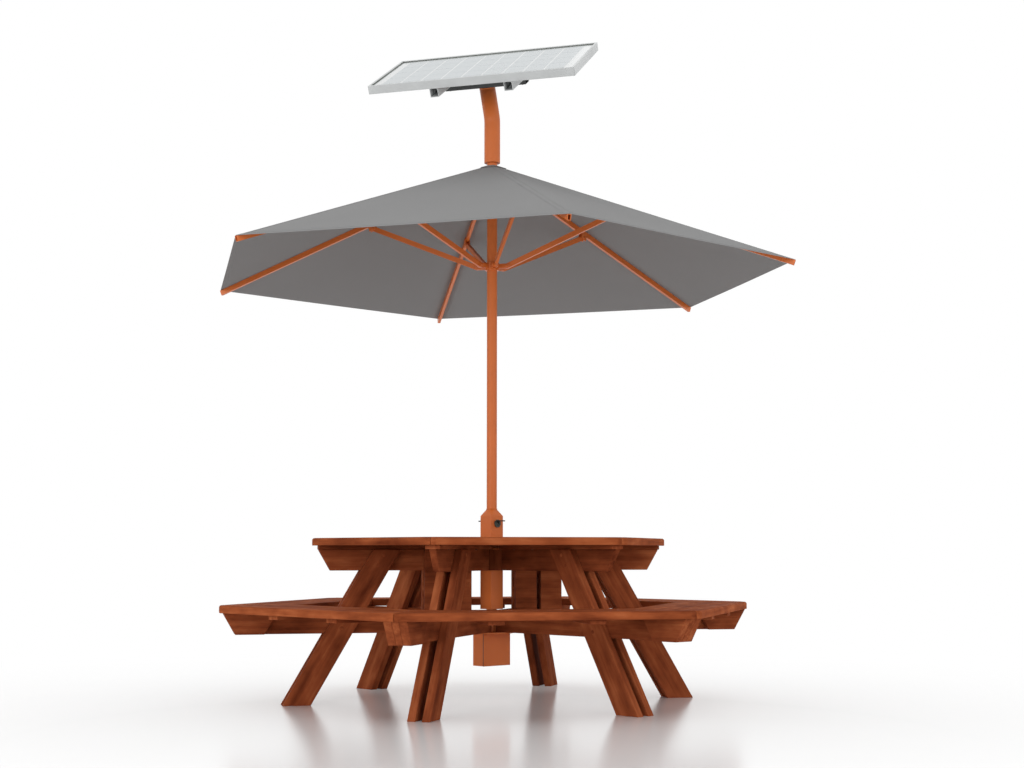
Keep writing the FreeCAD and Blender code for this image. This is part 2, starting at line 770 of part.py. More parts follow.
def canopy():
    """Taut fabric over the ribs: six gores of one thickness, open round the pole."""
    gores = doc.addObject("Part::Cut", "Gores")
    gores.Base = hexagonal_spire("OuterSide", "canopy_hem + fabric_thick")
    gores.Tool = hexagonal_spire("InnerSide", "canopy_hem")
    neck = doc.addObject("Part::Cylinder", "Neck")
    bind(neck, Radius="canopy_neck * cos(30)", Height="2 * canopy_rise")
    neck.setExpression("Placement.Base.z", expand("canopy_hem"))
    fabric = doc.addObject("Part::Cut", "Fabric")
    fabric.Base = gores
    fabric.Tool = neck
    doc.recompute()
    keep(fabric, "canopy_fabric")


def bent_tube():
    """Round tube on the pole's head, closed at both ends and bent to the panel's tilt."""
    tube = new_body("Tube")
    section = profile(tube, "XY_Plane", (), tube_rings("tube_diameter", "tube_wall"), "tube_bottom")
    path = new_sketch(tube, "YZ_Plane")
    start_z = "tube_corner - bend_tangent"
    end_y, end_z = "-bend_tangent * sin(panel_tilt)", "tube_corner + bend_tangent * cos(panel_tilt)"
    top_y, top_z = "-tube_end * sin(panel_tilt)", "tube_corner + tube_end * cos(panel_tilt)"
    points = [("0", "tube_bottom"), ("0", start_z), (end_y, end_z), (top_y, top_z)]
    foot, first, last, top = [FreeCAD.Vector(value(y), value(z), 0) for y, z in points]
    lower = path.addGeometry(Part.LineSegment(foot, first), False)
    upper = path.addGeometry(Part.LineSegment(last, top), False)
    middle = FreeCAD.Vector(-value("tube_bend_radius"), first.y, 0)
    sweep = Part.Circle(middle, UP, value("tube_bend_radius"))
    bend = path.addGeometry(Part.ArcOfCircle(sweep, 0, math.radians(value("panel_tilt"))), False)
    for line, point, (y, z) in zip((lower, lower, upper, upper), (1, 2, 1, 2), points):
        tie(path, line, point, y, z)
    path.addConstraint(Sketcher.Constraint("Coincident", bend, 1, lower, 2))
    path.addConstraint(Sketcher.Constraint("Coincident", bend, 2, upper, 1))
    index = path.addConstraint(Sketcher.Constraint("Radius", bend, value("tube_bend_radius")))
    path.setExpression(f"Constraints[{index}]", expand("tube_bend_radius"))
    pipe = tube.newObject("PartDesign::AdditivePipe", "Pipe")
    pipe.Profile = section
    pipe.Spine = path
    doc.recompute()

    cap = [("0", "0", "tube_diameter / 2")]
    pad(tube, profile(tube, "XY_Plane", (), cap, "tube_bottom"), "tube_cap")

    head = new_body("TubeHead", panel_place())
    pad(head, profile(head, "XY_Plane", (), cap, "-head_thick"), "head_thick")
    group("bent_tube", [tube, head])


def panel_place():
    """The tilted frame of the panel: origin on top of the tube's head, local Z out of the panel."""
    base = "0; -tube_arm * sin(panel_tilt); tube_corner + tube_arm * cos(panel_tilt)"
    return turned(0, base, "panel_tilt", X_LINE)


def mitred_frame(width):
    """Four mitred bars round the panel's edge, seen from above."""
    far_x, far_y = "panel_length / 2", "panel_width / 2"
    near_x, near_y = f"({far_x} - {width})", f"({far_y} - {width})"
    gap = "frame_mitre"
    front = [
        (f"-{far_x} + {gap}", f"-{far_y}"),
        (f"{far_x} - {gap}", f"-{far_y}"),
        (f"{near_x} - {gap}", f"-{near_y}"),
        (f"-{near_x} + {gap}", f"-{near_y}"),
    ]
    right = [
        (far_x, f"-{far_y} + {gap}"),
        (far_x, f"{far_y} - {gap}"),
        (near_x, f"{near_y} - {gap}"),
        (near_x, f"-{near_y} + {gap}"),
    ]
    back = [(x, f"-({y})") for x, y in front]
    left = [(f"-({x})", y) for x, y in right]
    return [front, right, back, left]


def panel():
    """Panel frame, laminate and junction box."""
    place = panel_place()
    frame = new_body("panel_frame", place)
    pad(frame, profile(frame, "XY_Plane", mitred_frame("flange_width"), (), "panel_base"), "flange_thick")
    pad(frame, profile(frame, "XY_Plane", mitred_frame("bezel_width"), (), "panel_base"), "panel_thick")
    keep(frame, "panel_frame")

    laminate = new_body("panel_laminate", place)
    half_x = "panel_length / 2 - bezel_width - pin_clearance"
    half_y = "panel_width / 2 - bezel_width - pin_clearance"
    loop = [box_loop(f"-({half_x})", half_x, f"-({half_y})", half_y)]
    pad(laminate, profile(laminate, "XY_Plane", loop, (), "laminate_bottom"), "laminate_thick")
    keep(laminate, "panel_laminate")

    junction = new_body("panel_junction_box", place)
    low, high = "junction_shift - junction_width / 2", "junction_shift + junction_width / 2"
    loop = [box_loop("-junction_length / 2", "junction_length / 2", low, high)]
    bottom = "laminate_bottom - junction_height"
    pad(junction, profile(junction, "XY_Plane", loop, (), bottom), "junction_height")
    keep(junction, "panel_junction_box")


def channel(x, sign):
    """Section of a lipped channel that opens towards the panel, its middle at x."""
    half, wall, low, top = "rail_size / 2", "rail_wall", "bar_height", "panel_base"

    def at(offset):
        return f"{x} + {sign} * ({offset})"

    return [
        (at(f"-{half}"), low),
        (at(half), low),
        (at(half), top),
        (at(f"{half} - rail_lip"), top),
        (at(f"{half} - rail_lip"), f"{top} - {wall}"),
        (at(f"{half} - {wall}"), f"{top} - {wall}"),
        (at(f"{half} - {wall}"), f"{low} + {wall}"),
        (at(f"-{half} + {wall}"), f"{low} + {wall}"),
        (at(f"-{half} + {wall}"), f"{top} - {wall}"),
        (at(f"-{half} + rail_lip"), f"{top} - {wall}"),
        (at(f"-{half} + rail_lip"), top),
        (at(f"-{half}"), top),
    ]


def panel_carrier():
    """Two channel rails under the panel and the box-section cross bar that carries them."""
    place = panel_place()
    rails = new_body("panel_rails", place)
    sections = [channel("rail_spacing / 2", 1), channel("-rail_spacing / 2", -1)]
    pad(rails, profile(rails, "XZ_Plane", sections, (), "-rail_length / 2"), "rail_length")
    keep(rails, "panel_rails")

    bar = new_body("cross_bar", place)
    half, hollow = "bar_width / 2", "(bar_width / 2 - bar_wall)"
    outer = box_loop(f"-{half}", half, "0", "bar_height")
    inner = box_loop(f"-{hollow}", hollow, "bar_wall", "bar_height - bar_wall")
    pad(bar, profile(bar, "YZ_Plane", [outer, inner], (), "-(bar_reach)"), "2 * bar_reach")
    keep(bar, "cross_bar")


def build():
    """Builds every sub-part in the order of assembly."""
    tabletop()
    benches()
    beam_set("top_beams", "top_beam_inner", "top_beam_reach", "top_beam_bottom")
    beam_set("seat_beams", "seat_beam_inner", "seat_beam_reach", "seat_beam_bottom")
    beam_blocks()
    cheeks()
    legs()
    uprights()
    hub_plates()
    post()
    battery_box()
    usb_sockets()
    usb_flaps()
    parasol_frame()
    canopy()
    bent_tube()
    panel()
    panel_carrier()
    doc.recompute()


def check():
    """Stops on a failed feature or an empty or invalid sub-part."""
    for feature in doc.Objects:
        if "Invalid" in feature.State or "Error" in feature.State:
            raise RuntimeError(f"{feature.Label} failed: {feature.State}")
    for node in nodes:
        if node.Shape.isNull() or not node.Shape.isValid() or not node.Shape.Solids:
            raise RuntimeError(f"{node.Label} has no valid shape")


def write():
    """Writes each sub-part to its own file."""
    os.makedirs("parts", exist_ok=True)
    for node in nodes:
        node.Shape.exportStep(f"parts/{node.Label}.step")
        print(node.Label, len(node.Shape.Solids), "solids", round(node.Shape.Volume / 1000), "cm3")


build()
check()
write()
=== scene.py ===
"""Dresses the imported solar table: stained timber, painted steel, parasol cloth and solar panel.

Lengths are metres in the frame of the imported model. Each class below builds one sub-assembly. Every
piece rides on a body of the model, and either stands for one of its nodes or adds hardware to it.
"""

import json
import logging
import math
import random
from dataclasses import dataclass
from enum import Enum

import bmesh
import bpy
from bmesh.types import BMesh
from bpy.types import Material, Mesh, MeshEdge, Node, NodeSocket, Object
from mathutils import Euler, Matrix, Vector


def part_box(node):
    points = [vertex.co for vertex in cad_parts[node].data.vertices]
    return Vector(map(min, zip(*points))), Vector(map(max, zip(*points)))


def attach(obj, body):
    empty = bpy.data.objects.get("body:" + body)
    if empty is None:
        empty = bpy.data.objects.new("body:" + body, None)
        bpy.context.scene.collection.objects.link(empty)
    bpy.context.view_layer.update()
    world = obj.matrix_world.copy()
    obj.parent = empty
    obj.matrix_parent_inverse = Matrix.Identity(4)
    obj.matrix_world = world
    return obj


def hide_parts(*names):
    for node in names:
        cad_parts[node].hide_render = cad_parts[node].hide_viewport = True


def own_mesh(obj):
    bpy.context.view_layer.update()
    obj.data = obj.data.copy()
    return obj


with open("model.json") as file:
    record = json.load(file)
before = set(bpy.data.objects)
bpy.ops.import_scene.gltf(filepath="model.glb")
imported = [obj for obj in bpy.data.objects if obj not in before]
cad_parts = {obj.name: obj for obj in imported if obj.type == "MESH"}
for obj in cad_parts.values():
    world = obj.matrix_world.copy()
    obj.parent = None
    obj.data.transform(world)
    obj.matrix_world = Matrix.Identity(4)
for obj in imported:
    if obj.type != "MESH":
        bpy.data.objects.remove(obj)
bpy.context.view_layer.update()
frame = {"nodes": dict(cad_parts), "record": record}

LOG = logging.getLogger("solar_table")
RECORD = frame["record"]
BEHAVIOUR = RECORD["behaviour"]
NODE_BODY = {node: body for body, members in BEHAVIOUR["bodies"].items() for node in members}
NODE_SLOT = {part["node"]: part["material_slot"] for part in RECORD["subparts"]}
PIVOTS = {joint["name"]: Vector(joint["pos_m"])
          for joint in BEHAVIOUR["joints"] if "pos_m" in joint}

Rgba = tuple[float, float, float, float]
Size = tuple[float, float, float]
Span = tuple[float, float]
Place = tuple[Vector, Vector]

UP = Vector((0, 0, 1))
SIDES = (1, -1)
ARMS = range(1, 7)
SECTOR = 60.0
HALF_SECTOR = math.radians(SECTOR / 2)
STAND = "stand"

# Where most and nearly all values of a noise pattern lie, and the full scale.
MOST: Span = (0.3, 0.7)
WIDE: Span = (0.2, 0.8)
FULL: Span = (0.0, 1.0)

# Limits for joining vertices and faces, and how edges are rounded and shaded.
MERGE = 1e-5
FLAT = math.radians(0.4)
SHARP = math.radians(35)
ROUND_STEPS = 2

# How far the grain may be shifted from board to board.
GRAIN_SHIFT: Span = (0, 40)


class Slot(str, Enum):
    """The material slots of the record."""

    PLANKS = "stained_planks"
    FRAME_TIMBER = "stained_frame_timber"
    ORANGE = "orange_paint"
    DARK_PAINT = "dark_paint"
    HUB = "hub_alloy"
    RIB = "rib_alloy"
    PANEL_ALLOY = "panel_alloy"
    CLOTH = "grey_fabric"
    CELLS = "cell_glass"
    PLASTIC = "dark_plastic"


def srgb(*levels: float) -> Rgba:
    """Turns display values into a scene-linear colour.

    Args:
        levels: Red, green and blue from 0 to 255.

    Returns:
        The colour with full alpha.
    """
    shares = [level / 255 for level in levels]
    linear = [share / 12.92 if share <= 0.04045 else ((share + 0.055) / 1.055) ** 2.4
              for share in shares]
    return (*linear, 1.0)


def tinted(colour: Rgba, factor: float) -> Rgba:
    """The same colour, lighter or darker by a factor."""
    return tuple(min(1.0, channel * factor) for channel in colour[:3]) + (1.0,)


def around(value: float, uneven: Span) -> Span:
    """A range that reaches a little below and above a value."""
    return value + uneven[0], value + uneven[1]


def heading(angle: float) -> tuple[Vector, Vector]:
    """The outward and the sideways direction on the floor plan.

    Args:
        angle: Direction in degrees, from +X towards +Y.

    Returns:
        Unit vectors outwards and to the left of outwards.
    """
    turn = math.radians(angle)
    out = Vector((math.cos(turn), math.sin(turn), 0))
    return out, UP.cross(out)


def arm_angle(arm: int) -> float:
    """The direction of a parasol rib, in degrees."""
    return SECTOR * (arm - 1)


def spoke_angle(spoke: int) -> float:
    """The direction of a timber spoke with its pair of leg planks, in degrees."""
    return SECTOR * (spoke - 0.5)


def both_sides(point: Vector, side: Vector, reach: float) -> list[Place]:
    """Places at a distance on the two sides of a point, each facing away from it."""
    return [(point + side * hand * reach, side * hand) for hand in SIDES]


class NodeWork:
    """The nodes of a tree, whose inputs are given as values or as sockets."""

    prefix = ""

    def __init__(self, tree: bpy.types.NodeTree) -> None:
        """Takes the tree to work on."""
        self.tree = tree

    def add(self, kind: str, inputs: dict | None = None, **settings: object) -> Node:
        """Adds a node.

        Args:
            kind: Type of node, without the tree's prefix.
            inputs: Values or sockets for its inputs, by name or place.
            settings: Properties of the node.

        Returns:
            The new node.
        """
        node = self.tree.nodes.new(self.prefix + kind)
        for name, value in settings.items():
            setattr(node, name, value)
        for name, value in (inputs or {}).items():
            self.feed(node, name, value)
        return node

    def feed(self, node: Node, name: str | int, value: object) -> None:
        """Sets an input to a value, or links it to a socket.

        Args:
            node: Node that has the input.
            name: Name or place of the input.
            value: Value or socket.
        """
        if isinstance(value, NodeSocket):
            self.tree.links.new(value, node.inputs[name])
        else:
            node.inputs[name].default_value = value


class Graph(NodeWork):
    """The nodes of a material or of the world, round one shader."""

    prefix = "ShaderNode"

    def __init__(self, name: str, for_world: bool = False) -> None:
        """Starts a material, or a world, with its shader.

        Args:
            name: Name of the material or world.
            for_world: Whether to make a world.
        """
        self.owner = (bpy.data.worlds if for_world else bpy.data.materials).new(name)
        self.owner.use_nodes = True
        super().__init__(self.owner.node_tree)
        self.tree.nodes.clear()
        self.shader = self.add("Background" if for_world else "BsdfPrincipled")
        self.output = self.add("OutputWorld" if for_world else "OutputMaterial")
        self.feed(self.output, "Surface", self.shader.outputs[0])

    def surface(self, **inputs: object) -> None:
        """Feeds inputs of the shader, with underscores for spaces in their names."""
        for name, value in inputs.items():
            self.feed(self.shader, name.replace("_", " "), value)

    def own_space(self) -> NodeSocket:
        """Coordinates of the piece's own object."""
        return self.add("TexCoord").outputs["Object"]

    def attribute(self, name: str, output: str = "Vector") -> NodeSocket:
        """An attribute of the piece's mesh."""
        return self.add("Attribute", attribute_name=name).outputs[output]

    def noise(self, space: NodeSocket, scale: float, detail: float = 3.0,
              roughness: float = 0.5) -> NodeSocket:
        """A noise pattern from 0 to 1."""
        inputs = {"Vector": space, "Scale": scale, "Detail": detail, "Roughness": roughness}
        return self.add("TexNoise", inputs).outputs[0]

    def streaks(self, space: NodeSocket, scale: Size, detail: float = 3.0,
                roughness: float = 0.5) -> NodeSocket:
        """A noise pattern with a scale of its own along each axis."""
        mapped = self.add("Mapping", {"Vector": space, "Scale": scale}).outputs["Vector"]
        return self.noise(mapped, 1.0, detail, roughness)

    def bands(self, space: NodeSocket, scale: float, way: str, bend: float = 0.0) -> NodeSocket:
        """A pattern of soft parallel bands from 0 to 1."""
        inputs = {"Vector": space, "Scale": scale, "Distortion": bend, "Detail": 3.0}
        return self.add("TexWave", inputs, bands_direction=way).outputs["Fac"]

    def sums(self, operation: str, first: object, second: object) -> NodeSocket:
        """A sum on two numbers or sockets."""
        return self.add("Math", {0: first, 1: second}, operation=operation).outputs[0]

    def spread(self, value: NodeSocket, source: Span, target: Span) -> NodeSocket:
        """Maps a range of values to another one."""
        ends = dict(zip(("From Min", "From Max", "To Min", "To Max"), source + target))
        return self.add("MapRange", {"Value": value, **ends}).outputs[0]

    def blend(self, share: object, first: object, second: object, mode: str = "MIX") -> NodeSocket:
        """Mixes two colours or sockets by a share."""
        inputs = {0: share, 6: first, 7: second}
        return self.add("Mix", inputs, data_type="RGBA", blend_type=mode).outputs[2]

    def mottled(self, pattern: NodeSocket, colour: Rgba, low: float, high: float) -> NodeSocket:
        """A colour that a noise pattern makes darker and lighter, by two factors."""
        share = self.spread(pattern, MOST, FULL)
        return self.blend(share, tinted(colour, low), tinted(colour, high))

    def flecked(self, ground: NodeSocket, pattern: NodeSocket, source: Span, most: float,
                fleck: Rgba) -> NodeSocket:
        """A colour that goes part of the way to another one where a pattern is high."""
        return self.blend(self.spread(pattern, source, (0.0, most)), ground, fleck)

    def seen(self) -> NodeSocket:
        """Tells the rays that look from those that carry light.

        Returns:
            One for rays that look straight, by reflection or through glass, and zero for others.
        """
        path = self.add("LightPath").outputs
        mirrored = self.sums("MAXIMUM", path["Is Glossy Ray"], path["Is Transmission Ray"])
        return self.sums("MAXIMUM", path["Is Camera Ray"], mirrored)

    def ramp(self, value: NodeSocket, stops: dict[float, Rgba]) -> NodeSocket:
        """Colours along a scale from 0 to 1.

        Args:
            value: Place on the scale.
            stops: Colour at each stop.

        Returns:
            The colour.
        """
        node = self.add("ValToRGB", {"Fac": value})
        elements = node.color_ramp.elements
        while len(elements) < len(stops):
            elements.new(1.0)
        for element, (place, colour) in zip(elements, stops.items()):
            element.position = place
            element.color = colour
        return node.outputs["Color"]

    def bump(self, height: NodeSocket, strength: float, distance: float) -> None:
        """Raises the surface by a pattern."""
        inputs = {"Height": height, "Strength": strength, "Distance": distance}
        self.feed(self.shader, "Normal", self.add("Bump", inputs).outputs["Normal"])


@dataclass(frozen=True)
class Finish:
    """A finish of the object, which becomes one material of the same name."""

    name: str

    def paint(self, graph: Graph) -> None:
        """Lays the finish on a material's nodes."""
        raise NotImplementedError

    def material(self) -> Material:
        """Builds the material.

        Returns:
            The material.
        """
        graph = Graph(self.name)
        self.paint(graph)
        return graph.owner


@dataclass(frozen=True)
class StainedTimber(Finish):
    """Oiled softwood boards, with grain along each board and a tone of its own for each board."""

    dark: Rgba
    middle: Rgba
    light: Rgba
    patch: Size = (6.0, 15.0, 15.0)
    streak: Size = (1.7, 40.0, 40.0)
    streak_range: Span = (0.25, 0.75)
    pore: Size = (9.0, 420.0, 420.0)
    pore_range: Span = (0.30, 0.46)
    pore_shade: Span = (0.84, 1.0)
    figure: Span = (0.04, 0.44)
    tone_range: Span = (-1.0, 1.0)
    tone_shift: Span = (-0.34, 0.14)
    stops: Size = (0.10, 0.50, 0.92)
    roughness: Span = (0.84, 0.70)
    specular: float = 0.03

    def paint(self, graph: Graph) -> None:
        """Lays grain and pores on the boards' own coordinates, shifted by each board's tone.

        Args:
            graph: Nodes of the material.
        """
        grain, tone = graph.attribute("grain"), graph.attribute("tone", "Fac")
        patches = graph.streaks(grain, self.patch, roughness=0.55)
        streaks = graph.streaks(grain, self.streak, detail=6.0, roughness=0.6)
        pores = graph.streaks(grain, self.pore, detail=2.0)
        figure = graph.sums("ADD", graph.spread(patches, MOST, self.figure),
                            graph.spread(streaks, self.streak_range, self.figure))
        figure = graph.sums("ADD", figure, graph.spread(tone, self.tone_range, self.tone_shift))
        colour = graph.ramp(figure, dict(zip(self.stops, (self.dark, self.middle, self.light))))
        shade = graph.spread(pores, self.pore_range, self.pore_shade)
        shade = graph.add("CombineColor", {0: shade, 1: shade, 2: shade}).outputs[0]
        graph.surface(Base_Color=graph.blend(1.0, colour, shade, "MULTIPLY"),
                      Roughness=graph.spread(streaks, WIDE, self.roughness),
                      Specular_IOR_Level=self.specular)
        graph.bump(graph.sums("ADD", streaks, pores), strength=0.18, distance=0.0006)


@dataclass(frozen=True)
class PowderCoat(Finish):
    """Powder-coated metal with a faint orange-peel surface and a little dust."""

    colour: Rgba
    roughness: float = 0.5
    specular: float = 0.4
    peel: float = 700.0
    cloud: float = 5.0
    dust: float = 60.0
    dust_range: Span = (0.58, 0.74)
    uneven: Span = (-0.06, 0.08)

    def paint(self, graph: Graph) -> None:
        """Lays colour, dust and peel in the piece's own space.

        Args:
            graph: Nodes of the material.
        """
        space = graph.own_space()
        dust = graph.noise(space, self.dust, detail=5.0, roughness=0.65)
        cloud = graph.noise(space, self.cloud, detail=4.0, roughness=0.55)
        colour = graph.mottled(cloud, self.colour, low=0.93, high=1.06)
        colour = graph.flecked(colour, dust, self.dust_range, most=0.10,
                               fleck=tinted(self.colour, 1.25))
        rough = graph.spread(dust, MOST, around(self.roughness, self.uneven))
        graph.surface(Base_Color=colour, Roughness=rough, Specular_IOR_Level=self.specular)
        graph.bump(graph.noise(space, self.peel, detail=2.0), strength=0.02, distance=0.0005)


@dataclass(frozen=True)
class BareMetal(Finish):
    """Anodised or plated metal with fine drawn lines along one axis."""

    colour: Rgba
    roughness: float = 0.36
    drawn: Size = (3.0, 90.0, 90.0)
    metallic: float = 1.0
    cloud: float = 9.0
    uneven: Span = (-0.02, 0.03)

    def paint(self, graph: Graph) -> None:
        """Lays colour and drawn lines in the piece's own space.

        Args:
            graph: Nodes of the material.
        """
        space = graph.own_space()
        lines = graph.streaks(space, self.drawn, roughness=0.6)
        colour = graph.mottled(graph.noise(space, self.cloud), self.colour, low=0.94, high=1.05)
        graph.surface(Base_Color=colour, Metallic=self.metallic,
                      Roughness=graph.spread(lines, WIDE, around(self.roughness, self.uneven)))


@dataclass(frozen=True)
class AcrylicCloth(Finish):
    """Closely woven canopy cloth in one dye."""

    colour: Rgba
    threads: float = 210.0
    slub: Size = (12.0, 260.0, 1.0)
    fade: float = 1.7
    roughness: Span = (0.82, 0.94)
    specular: float = 0.15

    def paint(self, graph: Graph) -> None:
        """Lays the weave on the cloth's own map, whose unit is a metre.

        Args:
            graph: Nodes of the material.
        """
        cut = graph.add("UVMap", uv_map="cut").outputs["UV"]
        warp, weft = (graph.bands(cut, self.threads, way, bend=0.4) for way in "XY")
        weave = graph.sums("MULTIPLY", warp, weft)
        slub = graph.streaks(cut, self.slub, roughness=0.6)
        colour = graph.blend(weave, tinted(self.colour, 0.90), tinted(self.colour, 1.10))
        colour = graph.flecked(colour, slub, MOST, most=0.35, fleck=tinted(self.colour, 0.88))
        fade = graph.noise(cut, self.fade)
        colour = graph.flecked(colour, fade, MOST, most=0.30, fleck=tinted(self.colour, 1.10))
        graph.surface(Base_Color=colour, Roughness=graph.spread(slub, WIDE, self.roughness),
                      Specular_IOR_Level=self.specular)
        graph.bump(weave, strength=0.25, distance=0.0004)


@dataclass(frozen=True)
class CellGlass(Finish):
    """Solar cells, or their backing, under a coat of clear glass."""

    colour: Rgba
    cloud: float = 6.0
    grid: float = 16.0
    grid_range: Span = (0.75, 1.0)
    roughness: Span = (0.26, 0.30)

    def paint(self, graph: Graph) -> None:
        """Lays colour and a faint grid of conductors in the piece's own space.

        Args:
            graph: Nodes of the material.
        """
        space = graph.own_space()
        cloud = graph.noise(space, self.cloud, detail=2.0)
        grid = graph.bands(space, self.grid, "X")
        colour = graph.mottled(cloud, self.colour, low=0.97, high=1.03)
        colour = graph.flecked(colour, grid, self.grid_range, most=0.05,
                               fleck=tinted(self.colour, 1.2))
        graph.surface(Base_Color=colour, Roughness=graph.spread(cloud, MOST, self.roughness),
                      Coat_Weight=1.0, Coat_Roughness=0.06, Coat_IOR=1.5)


@dataclass(frozen=True)
class MouldedPlastic(Finish):
    """Moulded plastic with a fine eroded texture."""

    colour: Rgba
    roughness: float = 0.5
    cloud: float = 30.0
    erosion: float = 1400.0
    uneven: Span = (-0.05, 0.08)

    def paint(self, graph: Graph) -> None:
        """Lays colour and erosion in the piece's own space.

        Args:
            graph: Nodes of the material.
        """
        space = graph.own_space()
        cloud = graph.noise(space, self.cloud)
        rough = graph.spread(cloud, MOST, around(self.roughness, self.uneven))
        colour = graph.mottled(cloud, self.colour, low=0.88, high=1.12)
        graph.surface(Base_Color=colour, Roughness=rough)
        graph.bump(graph.noise(space, self.erosion, detail=2.0), strength=0.15, distance=0.0003)


class Finishes:
    """All materials of the object, made once."""

    def __init__(self) -> None:
        """Builds each finish, and sets which one each slot of the record has."""
        self.planks = StainedTimber("stained_plank_timber", srgb(100, 44, 23), srgb(150, 77, 43),
                                    srgb(190, 111, 68)).material()
        self.frame_timber = StainedTimber("stained_frame_timber", srgb(93, 41, 22),
                                          srgb(140, 71, 41), srgb(180, 104, 64)).material()
        orange = srgb(209, 108, 47)
        self.orange = PowderCoat("orange_powder_coat", orange).material()
        self.orange_alloy = PowderCoat("orange_coated_alloy", orange, 0.34, 0.55, 250.0).material()
        self.dark_paint = PowderCoat("dark_grey_coat", srgb(82, 84, 84)).material()
        self.alloy = BareMetal("anodised_alloy", srgb(196, 198, 198), 0.5, metallic=0.25).material()
        even = (60.0, 60.0, 60.0)
        self.zinc = BareMetal("zinc_plate", srgb(150, 150, 148), 0.34, even).material()
        self.pin_steel = BareMetal("dark_pin_steel", srgb(70, 66, 62), 0.38, even).material()
        self.cloth = AcrylicCloth("grey_canopy_cloth", srgb(136, 136, 136)).material()
        self.thread = MouldedPlastic("grey_seam_thread", srgb(112, 112, 112), 0.7).material()
        self.cells = CellGlass("pale_blue_cells", srgb(140, 151, 155)).material()
        self.backing = CellGlass("white_backing_glass", srgb(188, 192, 192)).material()
        self.plastic = MouldedPlastic("dark_moulded_plastic", srgb(60, 67, 61)).material()
        self.flap_plastic = MouldedPlastic("black_flap_plastic", srgb(24, 25, 24), 0.6).material()
        self.grey_plastic = MouldedPlastic("grey_port_plastic", srgb(104, 108, 102),
                                           0.45).material()
        self.by_slot = {
            Slot.PLANKS: self.planks, Slot.FRAME_TIMBER: self.frame_timber,
            Slot.ORANGE: self.orange, Slot.DARK_PAINT: self.dark_paint,
            Slot.HUB: self.orange_alloy, Slot.RIB: self.orange_alloy,
            Slot.PANEL_ALLOY: self.alloy, Slot.CLOTH: self.cloth,
            Slot.CELLS: self.cells, Slot.PLASTIC: self.plastic}

    def of_node(self, node: str) -> Material:
        """The finish that the record gives to a node."""
        return self.by_slot[Slot(NODE_SLOT[node])]


def link(name: str, data: bpy.types.ID) -> Object:
    """Puts a mesh, a camera or a light into the scene.

    Args:
        name: Name of the object.
        data: The mesh, camera or light.

    Returns:
        The object, at the origin.
    """
    thing = bpy.data.objects.new(name, data)
    bpy.context.scene.collection.objects.link(thing)
    return thing


def plain_mesh(piece: Object) -> Mesh:
    """Turns an object and its modifiers into a plain mesh, and removes the object.

    Args:
        piece: The object.

    Returns:
        The mesh.
    """
    graph = bpy.context.evaluated_depsgraph_get()
    mesh = bpy.data.meshes.new_from_object(piece.evaluated_get(graph))
    bpy.data.objects.remove(piece)
    return mesh


def as_mesh(work: BMesh, name: str) -> Mesh:
    """Ends a mesh under construction.

    Args:
        work: The mesh under construction.
        name: Name of the mesh.

    Returns:
        The mesh, with smooth faces.
    """
    mesh = bpy.data.meshes.new(name)
    work.to_mesh(mesh)
    work.free()
    mesh.shade_smooth()
    return mesh


def add_piece(name: str, mesh: Mesh, material: Material, body: str,
              stands_for: tuple[str, ...] = ()) -> Object:
    """Puts a finished mesh on a body of the model.

    Args:
        name: Name of the piece.
        mesh: Its mesh, in the frame of the model.
        material: Its finish.
        body: Body that it rides on.
        stands_for: Nodes that it replaces.

    Returns:
        The piece.
    """
    piece = link(name, mesh)
    mesh.name = name
    if not mesh.materials:
        mesh.materials.append(material)
    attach(piece, body)
    if stands_for:
        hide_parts(*stands_for)
    LOG.info("%s on %s: %d faces", name, body, len(mesh.polygons))
    return piece


def add_to_stand(name: str, work: BMesh, material: Material) -> Object:
    """Puts a mesh under construction on the stand, as a piece."""
    return add_piece(name, as_mesh(work, name), material, STAND)


def merged_copy(node: str) -> Mesh:
    """A copy of a node's mesh with its loose triangles joined into whole faces.

    Args:
        node: Name of the node.

    Returns:
        The copy.
    """
    work = bmesh.new()
    work.from_mesh(frame["nodes"][node].data)
    bmesh.ops.remove_doubles(work, verts=work.verts, dist=MERGE)
    bmesh.ops.dissolve_limit(work, angle_limit=FLAT, verts=work.verts, edges=work.edges)
    return as_mesh(work, node + "_copy")


def rounded(mesh: Mesh, edge: float) -> Mesh:
    """Rounds a mesh's sharp edges and evens its shading.

    Args:
        mesh: Closed mesh with smooth faces.
        edge: Width of the rounding.

    Returns:
        The rounded mesh.
    """
    work = link("rounding", mesh)
    bevel = work.modifiers.new("edges", "BEVEL")
    bevel.width = edge
    bevel.segments = ROUND_STEPS
    bevel.limit_method = "ANGLE"
    bevel.angle_limit = SHARP
    weighted = work.modifiers.new("shading", "WEIGHTED_NORMAL")
    weighted.keep_sharp = False
    return plain_mesh(work)


def facing(out: Vector, across: Vector, origin: Vector) -> Matrix:
    """A frame at a point, whose Z axis points outwards and whose X axis points across."""
    axes = Matrix((across, out.cross(across), out)).transposed().to_4x4()
    return Matrix.Translation(origin) @ axes


def lathe(profile: list[Span], sides: int) -> BMesh:
    """Turns a closed profile about the Z axis.

    Args:
        profile: Radius and height of each point.
        sides: Faces round the axis.

    Returns:
        The turned shape, as a mesh under construction.
    """
    work = bmesh.new()
    rings = []
    for step in range(sides):
        out, _ = heading(360.0 * step / sides)
        rings.append([work.verts.new(out * radius + UP * height) for radius, height in profile])
    for ring, after in zip(rings, rings[1:] + rings[:1]):
        for first in range(len(profile)):
            second = (first + 1) % len(profile)
            work.faces.new((ring[first], after[first], after[second], ring[second]))
    bmesh.ops.recalc_face_normals(work, faces=work.faces)
    return work


